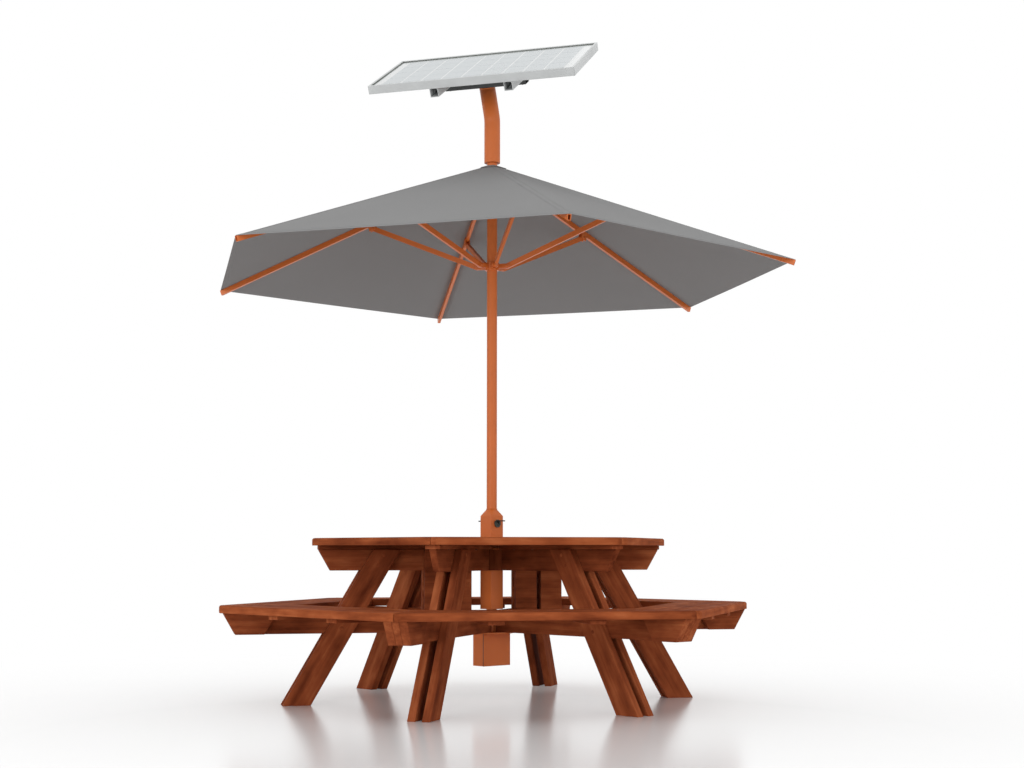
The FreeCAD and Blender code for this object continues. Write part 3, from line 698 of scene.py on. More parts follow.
def add_block(work: BMesh, place: Matrix, size: Size) -> None:
    """Adds a rectangular block to a mesh under construction.

    Args:
        work: The mesh.
        place: Frame of the block, whose origin is the middle of its lower face.
        size: Length, width and height.
    """
    made = bmesh.ops.create_cube(work, size=1.0)["verts"]
    lift = Matrix.Translation((0, 0, size[2] / 2))
    bmesh.ops.transform(work, matrix=place @ lift @ Matrix.Diagonal((*size, 1.0)), verts=made)


def add_walls(work: BMesh, place: Matrix, outer: Span, wall: float, height: float) -> None:
    """Adds four walls round a rectangle to a mesh under construction.

    Args:
        work: The mesh.
        place: Frame of the walls, whose origin is the middle of the rectangle they stand on.
        outer: Length and width over the walls.
        wall: Thickness of the walls.
        height: Height of the walls.
    """
    length, width = outer
    for hand in SIDES:
        long_wall = place @ Matrix.Translation((0, hand * (width - wall) / 2, 0))
        add_block(work, long_wall, (length, wall, height))
        short_wall = place @ Matrix.Translation((hand * (length - wall) / 2, 0, 0))
        add_block(work, short_wall, (wall, width - 2 * wall, height))


class MeshNodes(NodeWork):
    """A Geometry Nodes tree with named inputs, which runs as a modifier."""

    def __init__(self, name: str, inputs: dict[str, str]) -> None:
        """Starts a tree, whose last input is its finish.

        Args:
            name: Name of the tree.
            inputs: Socket type of each named input, without its prefix.
        """
        super().__init__(bpy.data.node_groups.new(name, "GeometryNodeTree"))
        face = self.tree.interface
        self.keys = {}
        for label, kind in {"Geometry": "Geometry", **inputs, "Finish": "Material"}.items():
            socket = face.new_socket(label, in_out="INPUT", socket_type="NodeSocket" + kind)
            self.keys[label] = socket.identifier
        face.new_socket("Geometry", in_out="OUTPUT", socket_type="NodeSocketGeometry")
        self.source = self.add("NodeGroupInput")

    def given(self, label: str) -> NodeSocket:
        """The socket of a named input."""
        return self.source.outputs[label]

    def scaled(self, value: NodeSocket, factor: float) -> NodeSocket:
        """A socket's number times a factor."""
        return self.add("ShaderNodeMath", {0: value, 1: factor}, operation="MULTIPLY").outputs[0]

    def raised(self, shape: NodeSocket, height: NodeSocket) -> NodeSocket:
        """A shape moved up its own axis.

        Args:
            shape: The shape.
            height: How far it moves.

        Returns:
            The moved shape.
        """
        lift = self.add("ShaderNodeCombineXYZ", {"Z": height}).outputs[0]
        return self.add("GeometryNodeTransform",
                        {"Geometry": shape, "Translation": lift}).outputs[0]

    def joined(self, first: NodeSocket, second: NodeSocket) -> NodeSocket:
        """Two shapes as one.

        Args:
            first: One shape.
            second: The other shape.

        Returns:
            Both together.
        """
        node = self.add("GeometryNodeJoinGeometry", {0: second})
        self.feed(node, 0, first)
        return node.outputs[0]

    def turned(self, vector: NodeSocket, axis: str) -> NodeSocket:
        """The rotation that points an axis along a vector."""
        node = self.add("FunctionNodeAlignRotationToVector", {"Vector": vector}, axis=axis)
        return node.outputs[0]

    def close(self, points: NodeSocket, shape: NodeSocket, turn: NodeSocket | None = None) -> None:
        """Ends the tree: a shape on each point becomes real, takes the finish and goes out.

        Args:
            points: Points to set the shape on.
            shape: The shape.
            turn: How the shape is turned at each point.
        """
        inputs = {"Points": points, "Instance": shape}
        if turn is not None:
            inputs["Rotation"] = turn
        placed = self.add("GeometryNodeInstanceOnPoints", inputs).outputs[0]
        real = self.add("GeometryNodeRealizeInstances", {"Geometry": placed}).outputs[0]
        inputs = {"Geometry": real, "Material": self.given("Finish")}
        self.add("NodeGroupOutput", {0: self.add("GeometryNodeSetMaterial", inputs).outputs[0]})

    def run(self, guide: Mesh, values: dict[str, object]) -> Mesh:
        """Runs the tree on a guide mesh.

        Args:
            guide: Mesh whose points or edges the tree follows.
            values: Value of each named input.

        Returns:
            The result as a plain mesh.
        """
        carrier = link("guide", guide)
        modifier = carrier.modifiers.new("build", "NODES")
        modifier.node_group = self.tree
        for label, value in values.items():
            modifier[self.keys[label]] = value
        mesh = plain_mesh(carrier)
        mesh.shade_smooth()
        mesh.set_sharp_from_angle(angle=SHARP)
        return mesh


class HeadShape(Enum):
    """Fixing heads: sides, radius, height, washer radius and washer height."""

    PLUG = (20, 0.0088, 0.0007, 0.0090, 0.0002)
    SCREW = (14, 0.0042, 0.0016, 0.0044, 0.0004)
    PIN = (18, 0.0062, 0.0030, 0.0072, 0.0008)
    SMALL_PIN = (14, 0.0016, 0.0006, 0.0018, 0.0002)


class Hardware:
    """Sets plugs, screws and pin heads on marked places."""

    inputs = {"Sides": "Int", "Head Radius": "Float", "Head Height": "Float",
              "Washer Radius": "Float", "Washer Height": "Float"}
    washer_sides = 20
    width_shares = (0.9, 0.5)
    height_shares = (0.55, 0.45)

    def __init__(self) -> None:
        """Builds the tree: a washer, and on it a head that narrows in two steps."""
        self.nodes = tree = MeshNodes("fixing_heads", self.inputs)
        sides, radius, height, wide, thick = (tree.given(label) for label in self.inputs)
        washer = self.disc(self.washer_sides, wide, wide, thick)
        shoulder, top = (tree.scaled(radius, share) for share in self.width_shares)
        rise, rest = (tree.scaled(height, share) for share in self.height_shares)
        upper = tree.raised(self.disc(sides, shoulder, top, rest), rise)
        head = tree.raised(tree.joined(self.disc(sides, radius, shoulder, rise), upper), thick)
        mark = tree.add("GeometryNodeInputNamedAttribute", {"Name": "facing"},
                        data_type="FLOAT_VECTOR").outputs[0]
        tree.close(tree.given("Geometry"), tree.joined(washer, head), tree.turned(mark, "Z"))

    def disc(self, sides: object, low: NodeSocket, high: NodeSocket,
             rise: NodeSocket) -> NodeSocket:
        """A round step of a head."""
        inputs = {"Vertices": sides, "Radius Bottom": low, "Radius Top": high, "Depth": rise}
        return self.nodes.add("GeometryNodeMeshCone", inputs).outputs["Mesh"]

    def set(self, name: str, places: list[Place], shape: HeadShape, material: Material, slot: Slot,
            body: str = STAND) -> Object:
        """Sets heads of one shape on a body.

        Args:
            name: Name of the piece.
            places: Point on the surface and outward direction of each head.
            shape: Shape of the heads.
            material: Their finish.
            slot: Slot of the record; not used.
            body: Body that they ride on.

        Returns:
            The piece.
        """
        guide = bpy.data.meshes.new(name + "_places")
        guide.from_pydata([tuple(point) for point, _ in places], [], [])
        marks = guide.attributes.new("facing", "FLOAT_VECTOR", "POINT")
        for mark, (_, direction) in zip(marks.data, places):
            mark.vector = direction
        values = dict(zip(self.inputs, shape.value))
        mesh = self.nodes.run(guide, {**values, "Finish": material})
        return add_piece(name, mesh, material, body)


class Stitching:
    """Sews rows of stitches along lines."""

    pitch = 0.009
    stitch: Size = (0.0065, 0.0012, 0.0012)

    def __init__(self) -> None:
        """Builds the tree: an oval stitch at even steps along each line."""
        self.nodes = tree = MeshNodes("seam_stitches", {"Pitch": "Float", "Stitch Size": "Vector"})
        line = tree.add("GeometryNodeMeshToCurve", {"Mesh": tree.given("Geometry")}).outputs[0]
        steps = tree.add("GeometryNodeResampleCurve",
                         {"Curve": line, "Length": tree.given("Pitch")}, mode="LENGTH").outputs[0]
        ball = tree.add("GeometryNodeMeshIcoSphere", {"Radius": 0.5, "Subdivisions": 1})
        inputs = {"Geometry": ball.outputs["Mesh"], "Scale": tree.given("Stitch Size")}
        stitch = tree.add("GeometryNodeTransform", inputs).outputs["Geometry"]
        along = tree.add("GeometryNodeInputTangent").outputs[0]
        tree.close(steps, stitch, tree.turned(along, "X"))

    def sew(self, name: str, lines: list[list[Vector]], thread: Material, body: str) -> Object:
        """Sews rows of stitches on a body.

        Args:
            name: Name of the piece.
            lines: Points of each row.
            thread: Finish of the thread.
            body: Body that the stitches ride on.

        Returns:
            The piece.
        """
        points, edges = [], []
        for line in lines:
            start = len(points)
            edges += [(start + step, start + step + 1) for step in range(len(line) - 1)]
            points += [tuple(point) for point in line]
        guide = bpy.data.meshes.new(name + "_lines")
        guide.from_pydata(points, edges, [])
        values = {"Pitch": self.pitch, "Stitch Size": self.stitch, "Finish": thread}
        return add_piece(name, self.nodes.run(guide, values), thread, body)


def board_axes(mesh: Mesh, edges: list[MeshEdge]) -> tuple[Vector, Vector]:
    """Finds how a board lies from its edges.

    Args:
        mesh: Mesh that holds the board.
        edges: The board's edges.

    Returns:
        Unit vectors along the longest edge, and across it along the longest edge square to it.
    """
    ends = [[mesh.vertices[index].co for index in edge.vertices] for edge in edges]
    spans = [end - start for start, end in ends]
    along = max(spans, key=lambda span: span.length).normalized()
    across = max(spans, key=lambda span: (span - along * span.dot(along)).length)
    return along, (across - along * across.dot(along)).normalized()


def mark_boards(mesh: Mesh, seed: str, crosswise: bool = False, tones: Span = FULL) -> None:
    """Writes the grain's coordinates and a tone on each separate board of a mesh.

    Args:
        mesh: Mesh of one or more boards.
        seed: Word that fixes the random draws.
        crosswise: Whether the grain runs across the boards' longest edges.
        tones: Lowest and highest tone of a board.
    """
    root = list(range(len(mesh.vertices)))

    def first(index: int) -> int:
        """Finds the vertex that stands for a vertex's board.

        Args:
            index: Number of the vertex.

        Returns:
            Number of the vertex that stands for the board.
        """
        while root[index] != index:
            root[index] = root[root[index]]
            index = root[index]
        return index

    for edge in mesh.edges:
        root[first(edge.vertices[0])] = first(edge.vertices[1])
    boards: dict[int, list[MeshEdge]] = {}
    for edge in mesh.edges:
        boards.setdefault(first(edge.vertices[0]), []).append(edge)
    draw = random.Random(seed)
    facts = {}
    for key, edges in boards.items():
        along, across = board_axes(mesh, edges)
        if crosswise:
            along, across = across, along
        offset = Vector([draw.uniform(*GRAIN_SHIFT) for _ in range(3)])
        axes = Matrix((along, across, along.cross(across)))
        facts[key] = (axes, offset, draw.uniform(*tones))
    for name, kind in (("grain", "FLOAT_VECTOR"), ("tone", "FLOAT")):
        mesh.attributes.new(name, kind, "POINT")
    grain, tone = mesh.attributes["grain"], mesh.attributes["tone"]
    for vertex in mesh.vertices:
        axes, offset, shade = facts[first(vertex.index)]
        grain.data[vertex.index].vector = axes @ vertex.co + offset
        tone.data[vertex.index].value = shade


@dataclass
class Assembly:
    """A sub-assembly, with the finishes and the hardware that it is dressed with."""

    finishes: Finishes
    hardware: Hardware
    edge: float = 0.0012

    def dress_node(self, node: str, material: Material | None = None) -> Object:
        """Replaces a node by a copy with rounded edges.

        Args:
            node: Name of the node.
            material: Finish of the copy, if it isn't the one of the node's slot.

        Returns:
            The copy as a piece.
        """
        mesh = rounded(merged_copy(node), self.edge)
        material = material or self.finishes.of_node(node)
        return add_piece(node + "_skin", mesh, material, NODE_BODY[node], (node,))

    def dress_slots(self, *slots: Slot) -> dict[str, Object]:
        """Replaces all nodes of some slots, and gives the copy of each node."""
        return {node: self.dress_node(node) for node, slot in NODE_SLOT.items() if slot in slots}


@dataclass
class TimberWork(Assembly):
    """Tabletop, benches, beams, legs and uprights, with their plugs and screws."""

    edge: float = 0.0022
    bolt_levels: Span = (0.650, 0.366)
    bolt_spacing: float = 0.046
    foot_radius: float = 0.904
    leg_lean: float = math.radians(30)
    side_face: float = 0.050
    upright_spokes: tuple[int, int] = (1, 4)
    upright_middles: Span = (0.155, 0.275)
    batten_bottom: float = 0.698
    batten_half: float = 0.025
    plank_middle: float = 0.1555
    plank_pitch: float = 0.107
    top_planks: int = 6
    # Darker tones for the beam blocks in front of the post: painted shade from the tabletop above
    # them.
    beam_block_painted_shade: Span = (-0.9, -0.6)
    front_bench_tones: Span = (-0.6, 0.05)

    def dress(self) -> None:
        """Replaces the timber nodes by rounded boards with grain, and sets the fixings."""
        # The beam blocks' darker tones are painted shade under the tabletop.
        tones = {"top_beam_blocks": self.beam_block_painted_shade, "bench_side_6": self.front_bench_tones}
        for node, piece in self.dress_slots(Slot.PLANKS, Slot.FRAME_TIMBER).items():
            mark_boards(piece.data, node, node == "upright_boards", tones.get(node, FULL))
        self.set_plugs()
        self.set_screws()

    def set_plugs(self) -> None:
        """Timber plugs over the bolts through the legs and uprights, on both sides."""
        places = []
        for spoke in ARMS:
            out, side = heading(spoke_angle(spoke))
            for level in self.bolt_levels:
                heights = [level + step * self.bolt_spacing for step in (-0.5, 0.5)]
                bolts = [(self.foot_radius - height * math.tan(self.leg_lean), height)
                         for height in heights]
                if spoke in self.upright_spokes:
                    bolts += [(middle, level) for middle in self.upright_middles]
                for radius, height in bolts:
                    places += both_sides(out * radius + UP * height, side, self.side_face)
        plugs = self.hardware.set("bolt_plugs", places, HeadShape.PLUG, self.finishes.frame_timber,
                                  Slot.FRAME_TIMBER)
        mark_boards(plugs.data, plugs.name)

    def set_screws(self) -> None:
        """Screws up through the battens into the tabletop's planks."""
        places = []
        for spoke in ARMS:
            out, side = heading(spoke_angle(spoke))
            for plank in range(self.top_planks - 1):
                radius = (self.plank_middle + plank * self.plank_pitch) / math.cos(HALF_SECTOR)
                middle = out * radius + UP * self.batten_bottom
                places += [(point, -UP) for point, _ in both_sides(middle, side, self.batten_half)]
        self.hardware.set("batten_screws", places, HeadShape.SCREW, self.finishes.pin_steel,
                          Slot.PLANKS)


@dataclass
class SteelWork(Assembly):
    """Post, pole, bent tube, hub plates, cross bar and battery box, with welds and screws."""

    pole_radius: float = 0.02415
    bead: float = 0.0030
    bead_root: float = 0.001
    bead_toe: float = 0.0006
    bead_slope: Span = (0.0008, 0.6)
    bead_sides: int = 64
    post_angle: float = -30.0
    cover_face: float = 0.038
    cover_half: float = 0.075
    cover_levels: Span = (0.173, 0.302)
    box_half: float = 0.083
    # Wall and depth of the dark strip round the cover, which is painted shade of its seam.
    seal: Span = (0.0012, 0.0034)

    def dress(self) -> None:
        """Replaces the painted nodes by rounded copies, and adds weld beads, a dark strip of painted
        shade round the cover, and screws.
        """
        self.dress_slots(Slot.ORANGE, Slot.DARK_PAINT)
        self.lay_weld("post_weld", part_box("post")[1].z, 1)
        self.lay_weld("tube_weld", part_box("bent_tube")[0].z, -1)
        self.lay_cover_shade_strip()
        self.set_cover_screws()

    def lay_weld(self, name: str, level: float, sense: int) -> None:
        """A bead round the pole, where it meets another part.

        Args:
            name: Name of the piece.
            level: Height of that part's end.
            sense: Up or down from there.
        """
        low, high = self.pole_radius - self.bead_root, self.pole_radius + self.bead
        inset, share = self.bead_slope
        profile = [(low, 0.0), (high, 0.0), (high - inset, self.bead * share),
                   (self.pole_radius + self.bead_toe, self.bead), (low, self.bead)]
        work = lathe([(radius, level + sense * rise) for radius, rise in profile], self.bead_sides)
        add_to_stand(name, work, self.finishes.orange)

    def lay_cover_shade_strip(self) -> None:
        """A dark strip round the battery box's cover: painted shade of the seam where the cover
        closes the box.
        """
        out, _ = heading(self.post_angle)
        low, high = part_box("battery_box_cover")
        wall, depth = self.seal
        origin = out * (self.cover_face - depth - wall) + UP * (low.z + high.z) / 2
        outer = (high.z - low.z + wall, 2 * self.box_half + wall)
        work = bmesh.new()
        add_walls(work, facing(out, UP, origin), outer, wall, depth)
        add_to_stand("cover_seal", work, self.finishes.plastic)

    def set_cover_screws(self) -> None:
        """Screws at the corners of the battery box's cover."""
        out, side = heading(self.post_angle)
        places = [(out * self.cover_face + side * hand * self.cover_half + UP * level, out)
                  for hand in SIDES for level in self.cover_levels]
        self.hardware.set("cover_screws", places, HeadShape.SCREW, self.finishes.orange,
                          Slot.ORANGE)


@dataclass
class ChargingSockets(Assembly):
    """The two USB sockets on the post, with their ports, flaps and hinge pins."""

    edge: float = 0.0006
    post_angle: float = -30.0
    recess_floor: float = 0.0385
    port_rise: float = 0.0040
    port_size: Size = (0.0126, 0.0056, 0.0016)
    tongue_size: Size = (0.0104, 0.0018, 0.0012)
    wall: float = 0.0007
    ear_side: float = 0.011

    def dress(self) -> None:
        """Replaces sockets and flaps by rounded copies, and adds ports and pins."""
        self.dress_node("usb_sockets")
        for node in ("usb_flap_front", "usb_flap_back"):
            self.dress_node(node, self.finishes.flap_plastic)
        low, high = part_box("usb_sockets")
        shells, tongues, pins = bmesh.new(), bmesh.new(), []
        for turn, hinge in ((0.0, "flap_front_hinge"), (180.0, "flap_back_hinge")):
            out, side = heading(self.post_angle + turn)
            for rise in (-self.port_rise, self.port_rise):
                middle = out * self.recess_floor + UP * ((low.z + high.z) / 2 + rise)
                place = facing(out, side, middle)
                add_walls(shells, place, self.port_size[:2], self.wall, self.port_size[2])
                add_block(tongues, place, self.tongue_size)
            pins += both_sides(PIVOTS[hinge], side, self.ear_side)
        add_to_stand("usb_port_shells", shells, self.finishes.zinc)
        add_to_stand("usb_port_tongues", tongues, self.finishes.grey_plastic)
        self.hardware.set("flap_pins", pins, HeadShape.SMALL_PIN, self.finishes.pin_steel,
                          Slot.PLASTIC)


@dataclass
class Parasol(Assembly):
    """Hubs, ribs and struts, and the pins that join them."""

    lug_end: float = 0.011
    crown_lug: float = 0.012
    runner_lug: float = 0.0115
    bracket_side: float = 0.0115

    def dress(self) -> None:
        """Replaces the linkage's nodes by rounded copies, and sets pin heads on their lugs."""
        self.dress_slots(Slot.HUB, Slot.RIB)
        low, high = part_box("runner_hub")
        crown, runner = [], []
        for arm in ARMS:
            out, side = heading(arm_angle(arm))
            joint = out * (high.x - self.lug_end) + UP * (low.z + high.z) / 2
            crown += both_sides(PIVOTS[f"rib_hinge_{arm}"], side, self.crown_lug)
            runner += both_sides(joint, side, self.runner_lug)
            bracket = both_sides(PIVOTS[f"strut_hinge_{arm}"], side, self.bracket_side)
            self.set_pins(f"bracket_pins_{arm}", bracket, Slot.RIB, f"rib_arm_{arm}")
        self.set_pins("crown_pins", crown, Slot.HUB, STAND)
        self.set_pins("runner_pins", runner, Slot.HUB, "runner")

    def set_pins(self, name: str, places: list[Place], slot: Slot, body: str) -> None:
        """Sets coated pin heads on a body."""
        self.hardware.set(name, places, HeadShape.PIN, self.finishes.orange_alloy, slot, body)


@dataclass
class Canopy:
    """The parasol's cloth: on each rib a sleeve and two half gores, and a cap over the crown.

    Two half gores meet without a step in the middle between their ribs, so the open canopy is one
    sheet.
    """

    finishes: Finishes
    stitching: Stitching
    reach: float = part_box("canopy_fabric")[1].x
    rib_slope: float = math.radians(20.65)
    rib_half: float = 0.0125
    lift: float = 0.0022
    inner: float = 0.062
    neck: float = 0.0262
    cap_reach: float = 0.072
    cap_lift: float = 0.0036
    cap_rows: int = 6
    cap_columns: int = 4
    sleeve_half: float = 0.020
    sleeve_steps: tuple[float, ...] = (-1.0, -0.66, -0.33, 0.0, 0.33, 0.66, 1.0)
    cloth: float = 0.0011
    sag: float = 0.009
    sag_belly: float = 3.2
    sag_hem: float = 0.15
    sag_curve: float = 1.5
    hem: float = 0.028
    hem_fold: float = 0.0006
    hem_step: float = 0.0007
    seam_inset: float = 0.004
    gathered: float = 0.11
    rows: int = 30
    columns: int = 16

    @property
    def seam(self) -> float:
        """Distance of a sleeve's edge from its ridge, parallel to the hem."""
        return self.sleeve_half / math.cos(HALF_SECTOR)

    def middle(self, radius: float) -> float:
        """Distance of a gore's middle from the ridge at a radius, parallel to the hem."""
        return radius * math.sin(HALF_SECTOR)

    def height(self, radius: float) -> float:
        """Finds the height of the cloth's underside.

        Args:
            radius: Radius of a ridge.

        Returns:
            The height there, and all along a line parallel to the hem.
        """
        pivot = PIVOTS["rib_hinge_1"]
        ridge = pivot.z + self.rib_half / math.cos(self.rib_slope) + self.lift
        return ridge - (radius - pivot.x) * math.tan(self.rib_slope)

    def point(self, arm: int, hand: int, radius: float, offset: float, lift: float = 0.0) -> Vector:
        """A point on the cloth.

        Args:
            arm: Number of the rib.
            hand: Side of the rib.
            radius: Radius of the ridge that the point is level with.
            offset: Distance from the ridge, parallel to the hem.
            lift: Height above the cloth's underside.

        Returns:
            The point.
        """
        out, side = heading(arm_angle(arm))
        flat = out * (radius - offset * math.sin(HALF_SECTOR))
        flat += side * hand * offset * math.cos(HALF_SECTOR)
        return flat + UP * (self.height(radius) + lift)

    def slant(self, radius: float) -> float:
        """Distance down the middle of a gore, from the axis to where a ridge is at a radius."""
        run = radius * math.cos(HALF_SECTOR)
        return run * math.hypot(1.0, math.tan(self.rib_slope) / math.cos(HALF_SECTOR))

    def radii(self) -> list[float]:
        """Radii of the cloth's rows, closer together at the fold of the hem.

        Returns:
            The radii, from the crown outwards.
        """
        fold = self.reach - self.hem
        steps = [self.inner + (fold - self.inner) * row / self.rows for row in range(self.rows + 1)]
        return steps + [fold + self.hem_fold, self.reach]

    def hem_lift(self, radius: float) -> float:
        """How much the doubled hem stands above the cloth."""
        return self.hem_step if radius > self.reach - self.hem else 0.0

    def sag_at(self, radius: float, across: float) -> float:
        """Finds how far the cloth hangs below a straight line.

        Args:
            radius: Radius of the ridge that the point is level with.
            across: Share of the way from the sleeve to the gore's middle.

        Returns:
            The sag.
        """
        share = (radius - self.inner) / (self.reach - self.inner)
        belly = self.sag_belly * share * (1.0 - share) + self.sag_hem * share
        return self.sag * belly * math.sin(across * math.pi / 2) ** self.sag_curve

    def gore_row(self, arm: int, hand: int, radius: float,
                 lift: float) -> list[tuple[Vector, float]]:
        """A row of points on a half gore, from the sleeve to the gore's middle.

        Args:
            arm: Number of the rib.
            hand: Side of the rib.
            radius: Radius of the ridge that the row starts level with.
            lift: Height above the cloth's underside.

        Returns:
            Each point with its distance from the ridge.
        """
        row = []
        for column in range(self.columns + 1):
            across = column / self.columns
            offset = self.seam + (self.middle(radius) - self.seam) * across
            rise = lift - self.sag_at(radius, across)
            row.append((self.point(arm, hand, radius, offset, rise), offset))
        return row

    def sheet(self, name: str, body: str, grid: list[list[tuple[Vector, Span]]],
              flip: bool = False) -> Object:
        """A piece of cloth of even thickness, from a grid of points.

        Args:
            name: Name of the piece.
            body: Body that it rides on.
            grid: Rows of points with their place on the cut cloth.
            flip: Whether the rows run the other way round.

        Returns:
            The piece, with a map named cut.
        """
        work = bmesh.new()
        cut = work.loops.layers.uv.new("cut")
        rows = [[(work.verts.new(point), place) for point, place in row] for row in grid]
        for row, after in zip(rows, rows[1:]):
            for column in range(len(row) - 1):
                corners = [row[column], row[column + 1], after[column + 1], after[column]]
                if flip:
                    corners.reverse()
                face = work.faces.new([vertex for vertex, _ in corners])
                for loop, (_, place) in zip(face.loops, corners):
                    loop[cut].uv = place
        shell = link(name, as_mesh(work, name))
        wall = shell.modifiers.new("cloth", "SOLIDIFY")
        wall.thickness = self.cloth
        wall.offset = 1.0
        mesh = plain_mesh(shell)
        mesh.shade_smooth()
        mesh.set_sharp_from_angle(angle=SHARP)
        return add_piece(name, mesh, self.finishes.cloth, body, ("canopy_fabric",))

    def half_gore(self, arm: int, hand: int) -> None:
        """The cloth from a rib's sleeve to the middle of the gore on one side, with its hem.

        Args:
            arm: Number of the rib.
            hand: Side of the rib.
        """
        grid = []
        for radius in self.radii():
            row = self.gore_row(arm, hand, radius, self.hem_lift(radius))
            grid.append([(point, (hand * offset, self.slant(radius))) for point, offset in row])
        tag, body = f"{arm}_{'left' if hand > 0 else 'right'}", f"rib_arm_{arm}"
        piece = self.sheet(f"canopy_gore_{tag}", body, grid, hand < 0)
        hem = self.gore_row(arm, hand, self.reach - self.hem + self.seam_inset,
                            self.hem_step + self.cloth)
        stitches = self.stitching.sew(f"hem_stitches_{tag}", [[point for point, _ in hem]],
                                      self.finishes.thread, body)
        length = self.slant(self.reach) - self.slant(self.inner)
        width = self.middle(self.reach) - self.seam
        area = length * (self.middle(self.inner + self.reach) / 2 - self.seam)
        anchor = self.point(arm, hand, self.inner, self.seam)
        corner = self.point(arm, hand, self.reach, self.seam)
        edge, level = corner - anchor, self.point(arm, hand, self.reach, 2 * self.seam) - corner
        for soft in (piece, stitches):
            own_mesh(soft)

    def sleeve(self, arm: int) -> None:
        """The doubled strip of cloth over a rib, with a row of stitches on each side.

        Args:
            arm: Number of the rib.
        """
        grid = []
        for radius in self.radii():
            grid.append([])
            for step in self.sleeve_steps:
                hand, offset = 1 if step >= 0 else -1, abs(step) * self.seam
                point = self.point(arm, hand, radius, offset, self.hem_lift(radius))
                grid[-1].append((point, (step * self.seam, self.slant(radius))))
        body = f"rib_arm_{arm}"
        piece = self.sheet(f"canopy_sleeve_{arm}", body, grid)
        ends = (self.cap_reach + self.seam_inset, self.reach - self.hem)
        rows = [[self.point(arm, hand, radius, self.seam - self.seam_inset, self.cloth)
                 for radius in ends] for hand in SIDES]
        stitches = self.stitching.sew(f"sleeve_stitches_{arm}", rows, self.finishes.thread, body)

    def cap(self) -> None:
        """The small fixed cone over the crown, from the pole to where the gores begin."""
        grid = []
        for step in range(self.cap_rows + 1):
            radius = self.neck + (self.cap_reach - self.neck) * step / self.cap_rows
            corners = [(arm, radius * column / self.cap_columns)
                       for arm in ARMS for column in range(self.cap_columns)]
            row = [(self.point(arm, 1, radius, offset, self.cap_lift),
                    (radius * (arm - 1) + offset, self.slant(radius))) for arm, offset in corners]
            grid.append(row + [(row[0][0], (radius * len(ARMS), self.slant(radius)))])
        piece = self.sheet("canopy_cap", STAND, grid)
        work = bmesh.new()
        work.from_mesh(piece.data)
        bmesh.ops.remove_doubles(work, verts=work.verts, dist=MERGE)
        work.to_mesh(piece.data)
        work.free()

    def dress(self) -> None:
        """Makes all the cloth."""
        for arm in ARMS:
            self.sleeve(arm)
            for hand in SIDES:
                self.half_gore(arm, hand)
        self.cap()


@dataclass
class SolarPanel(Assembly):
    """The framed panel with its cells, rails and junction box, a grey strip of painted shade round
    the glass, and the bar's bolts.
    """

    edge: float = 0.0009
    tilt: float = math.radians(30)
    glass_length: float = 0.982
    glass_width: float = 0.487
    glass_half: float = 0.002
    end_margin: float = 0.042
    side_margin: float = 0.028
    columns: int = 9
    rows: int = 4
    column_gap: float = 0.0085
    row_gap: float = 0.0014
    cell_thick: float = 0.0003
    # Width and height of the grey strip round the glass: painted shade of the recess under the
    # frame's lip.
    seal: Span = (0.0022, 0.0034)
    rail_middle: float = 0.181
    bar_bolt: float = 0.014
    bar_half: float = 0.014

    def place(self, node: str, rise: float = 0.0) -> Matrix:
        """The panel's directions over a node's middle.

        Args:
            node: Name of the node.
            rise: Distance out of the glass.

        Returns:
            A frame whose Z axis points out of the glass.
        """
        middle = sum(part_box(node), Vector()) / 2
        turned = Matrix.Translation(middle) @ Matrix.Rotation(self.tilt, 4, "X")
        return turned @ Matrix.Translation((0, 0, rise))

    def dress(self) -> None:
        """Replaces the panel's nodes, and adds cells, a grey strip of painted shade round the glass,
        and bolts.
        """
        for node in ("panel_frame", "panel_rails", "panel_junction_box"):
            self.dress_node(node)
        glass = rounded(merged_copy("panel_laminate"), self.edge / 2)
        add_piece("panel_glass", glass, self.finishes.backing, STAND,
                  ("panel_laminate",))
        self.lay_cells()
        # A grey strip round the glass stands for the shade in the recess between glass and frame:
        # painted shade.
        work = bmesh.new()
        add_walls(work, self.place("panel_laminate", self.glass_half),
                  (self.glass_length, self.glass_width), *self.seal)
        add_to_stand("panel_seal", work, self.finishes.grey_plastic)
        bar = self.place("cross_bar", -self.bar_half)
        places = [(bar @ Vector((hand * self.rail_middle, end * self.bar_bolt, 0)),
                   bar.to_3x3() @ -UP) for hand in SIDES for end in SIDES]
        self.hardware.set("bar_bolts", places, HeadShape.PIN, self.finishes.dark_paint,
                          Slot.DARK_PAINT)

    def lay_cells(self) -> None:
        """Cells in rows and columns on the glass's face."""
        pitch_x = (self.glass_length - 2 * self.end_margin) / self.columns
        pitch_y = (self.glass_width - 2 * self.side_margin) / self.rows
        tree = MeshNodes("cell_grid", {"Columns": "Int", "Rows": "Int", "Length": "Float",
                                       "Width": "Float", "Cell Size": "Vector"})
        grid = tree.add("GeometryNodeMeshGrid", {
            "Size X": tree.given("Length"), "Size Y": tree.given("Width"),
            "Vertices X": tree.given("Columns"), "Vertices Y": tree.given("Rows")})
        cell = tree.add("GeometryNodeMeshCube", {"Size": tree.given("Cell Size")})
        tree.close(grid.outputs["Mesh"], cell.outputs["Mesh"])
        mesh = tree.run(bpy.data.meshes.new("cell_guide"), {
            "Columns": self.columns, "Rows": self.rows,
            "Length": pitch_x * (self.columns - 1), "Width": pitch_y * (self.rows - 1),
            "Cell Size": (pitch_x - self.column_gap, pitch_y - self.row_gap, 2 * self.cell_thick),
            "Finish": self.finishes.cells})
        mesh.transform(self.place("panel_laminate", self.glass_half))
        add_piece("panel_cells", mesh, self.finishes.cells, STAND)


@dataclass(frozen=True)
class SoftBox:
    """A square soft light that faces a point."""

    name: str
    place: Size
    target: Size
    size: float
    power: float

    def hang(self) -> None:
        """Hangs the light in the scene."""
        data = bpy.data.lights.new(self.name, "AREA")
        data.size = self.size
        data.energy = self.power
        lamp = link(self.name, data)
        lamp.location = self.place
        toward = Vector(self.target) - Vector(self.place)
        lamp.rotation_euler = toward.to_track_quat("-Z", "Y").to_euler()


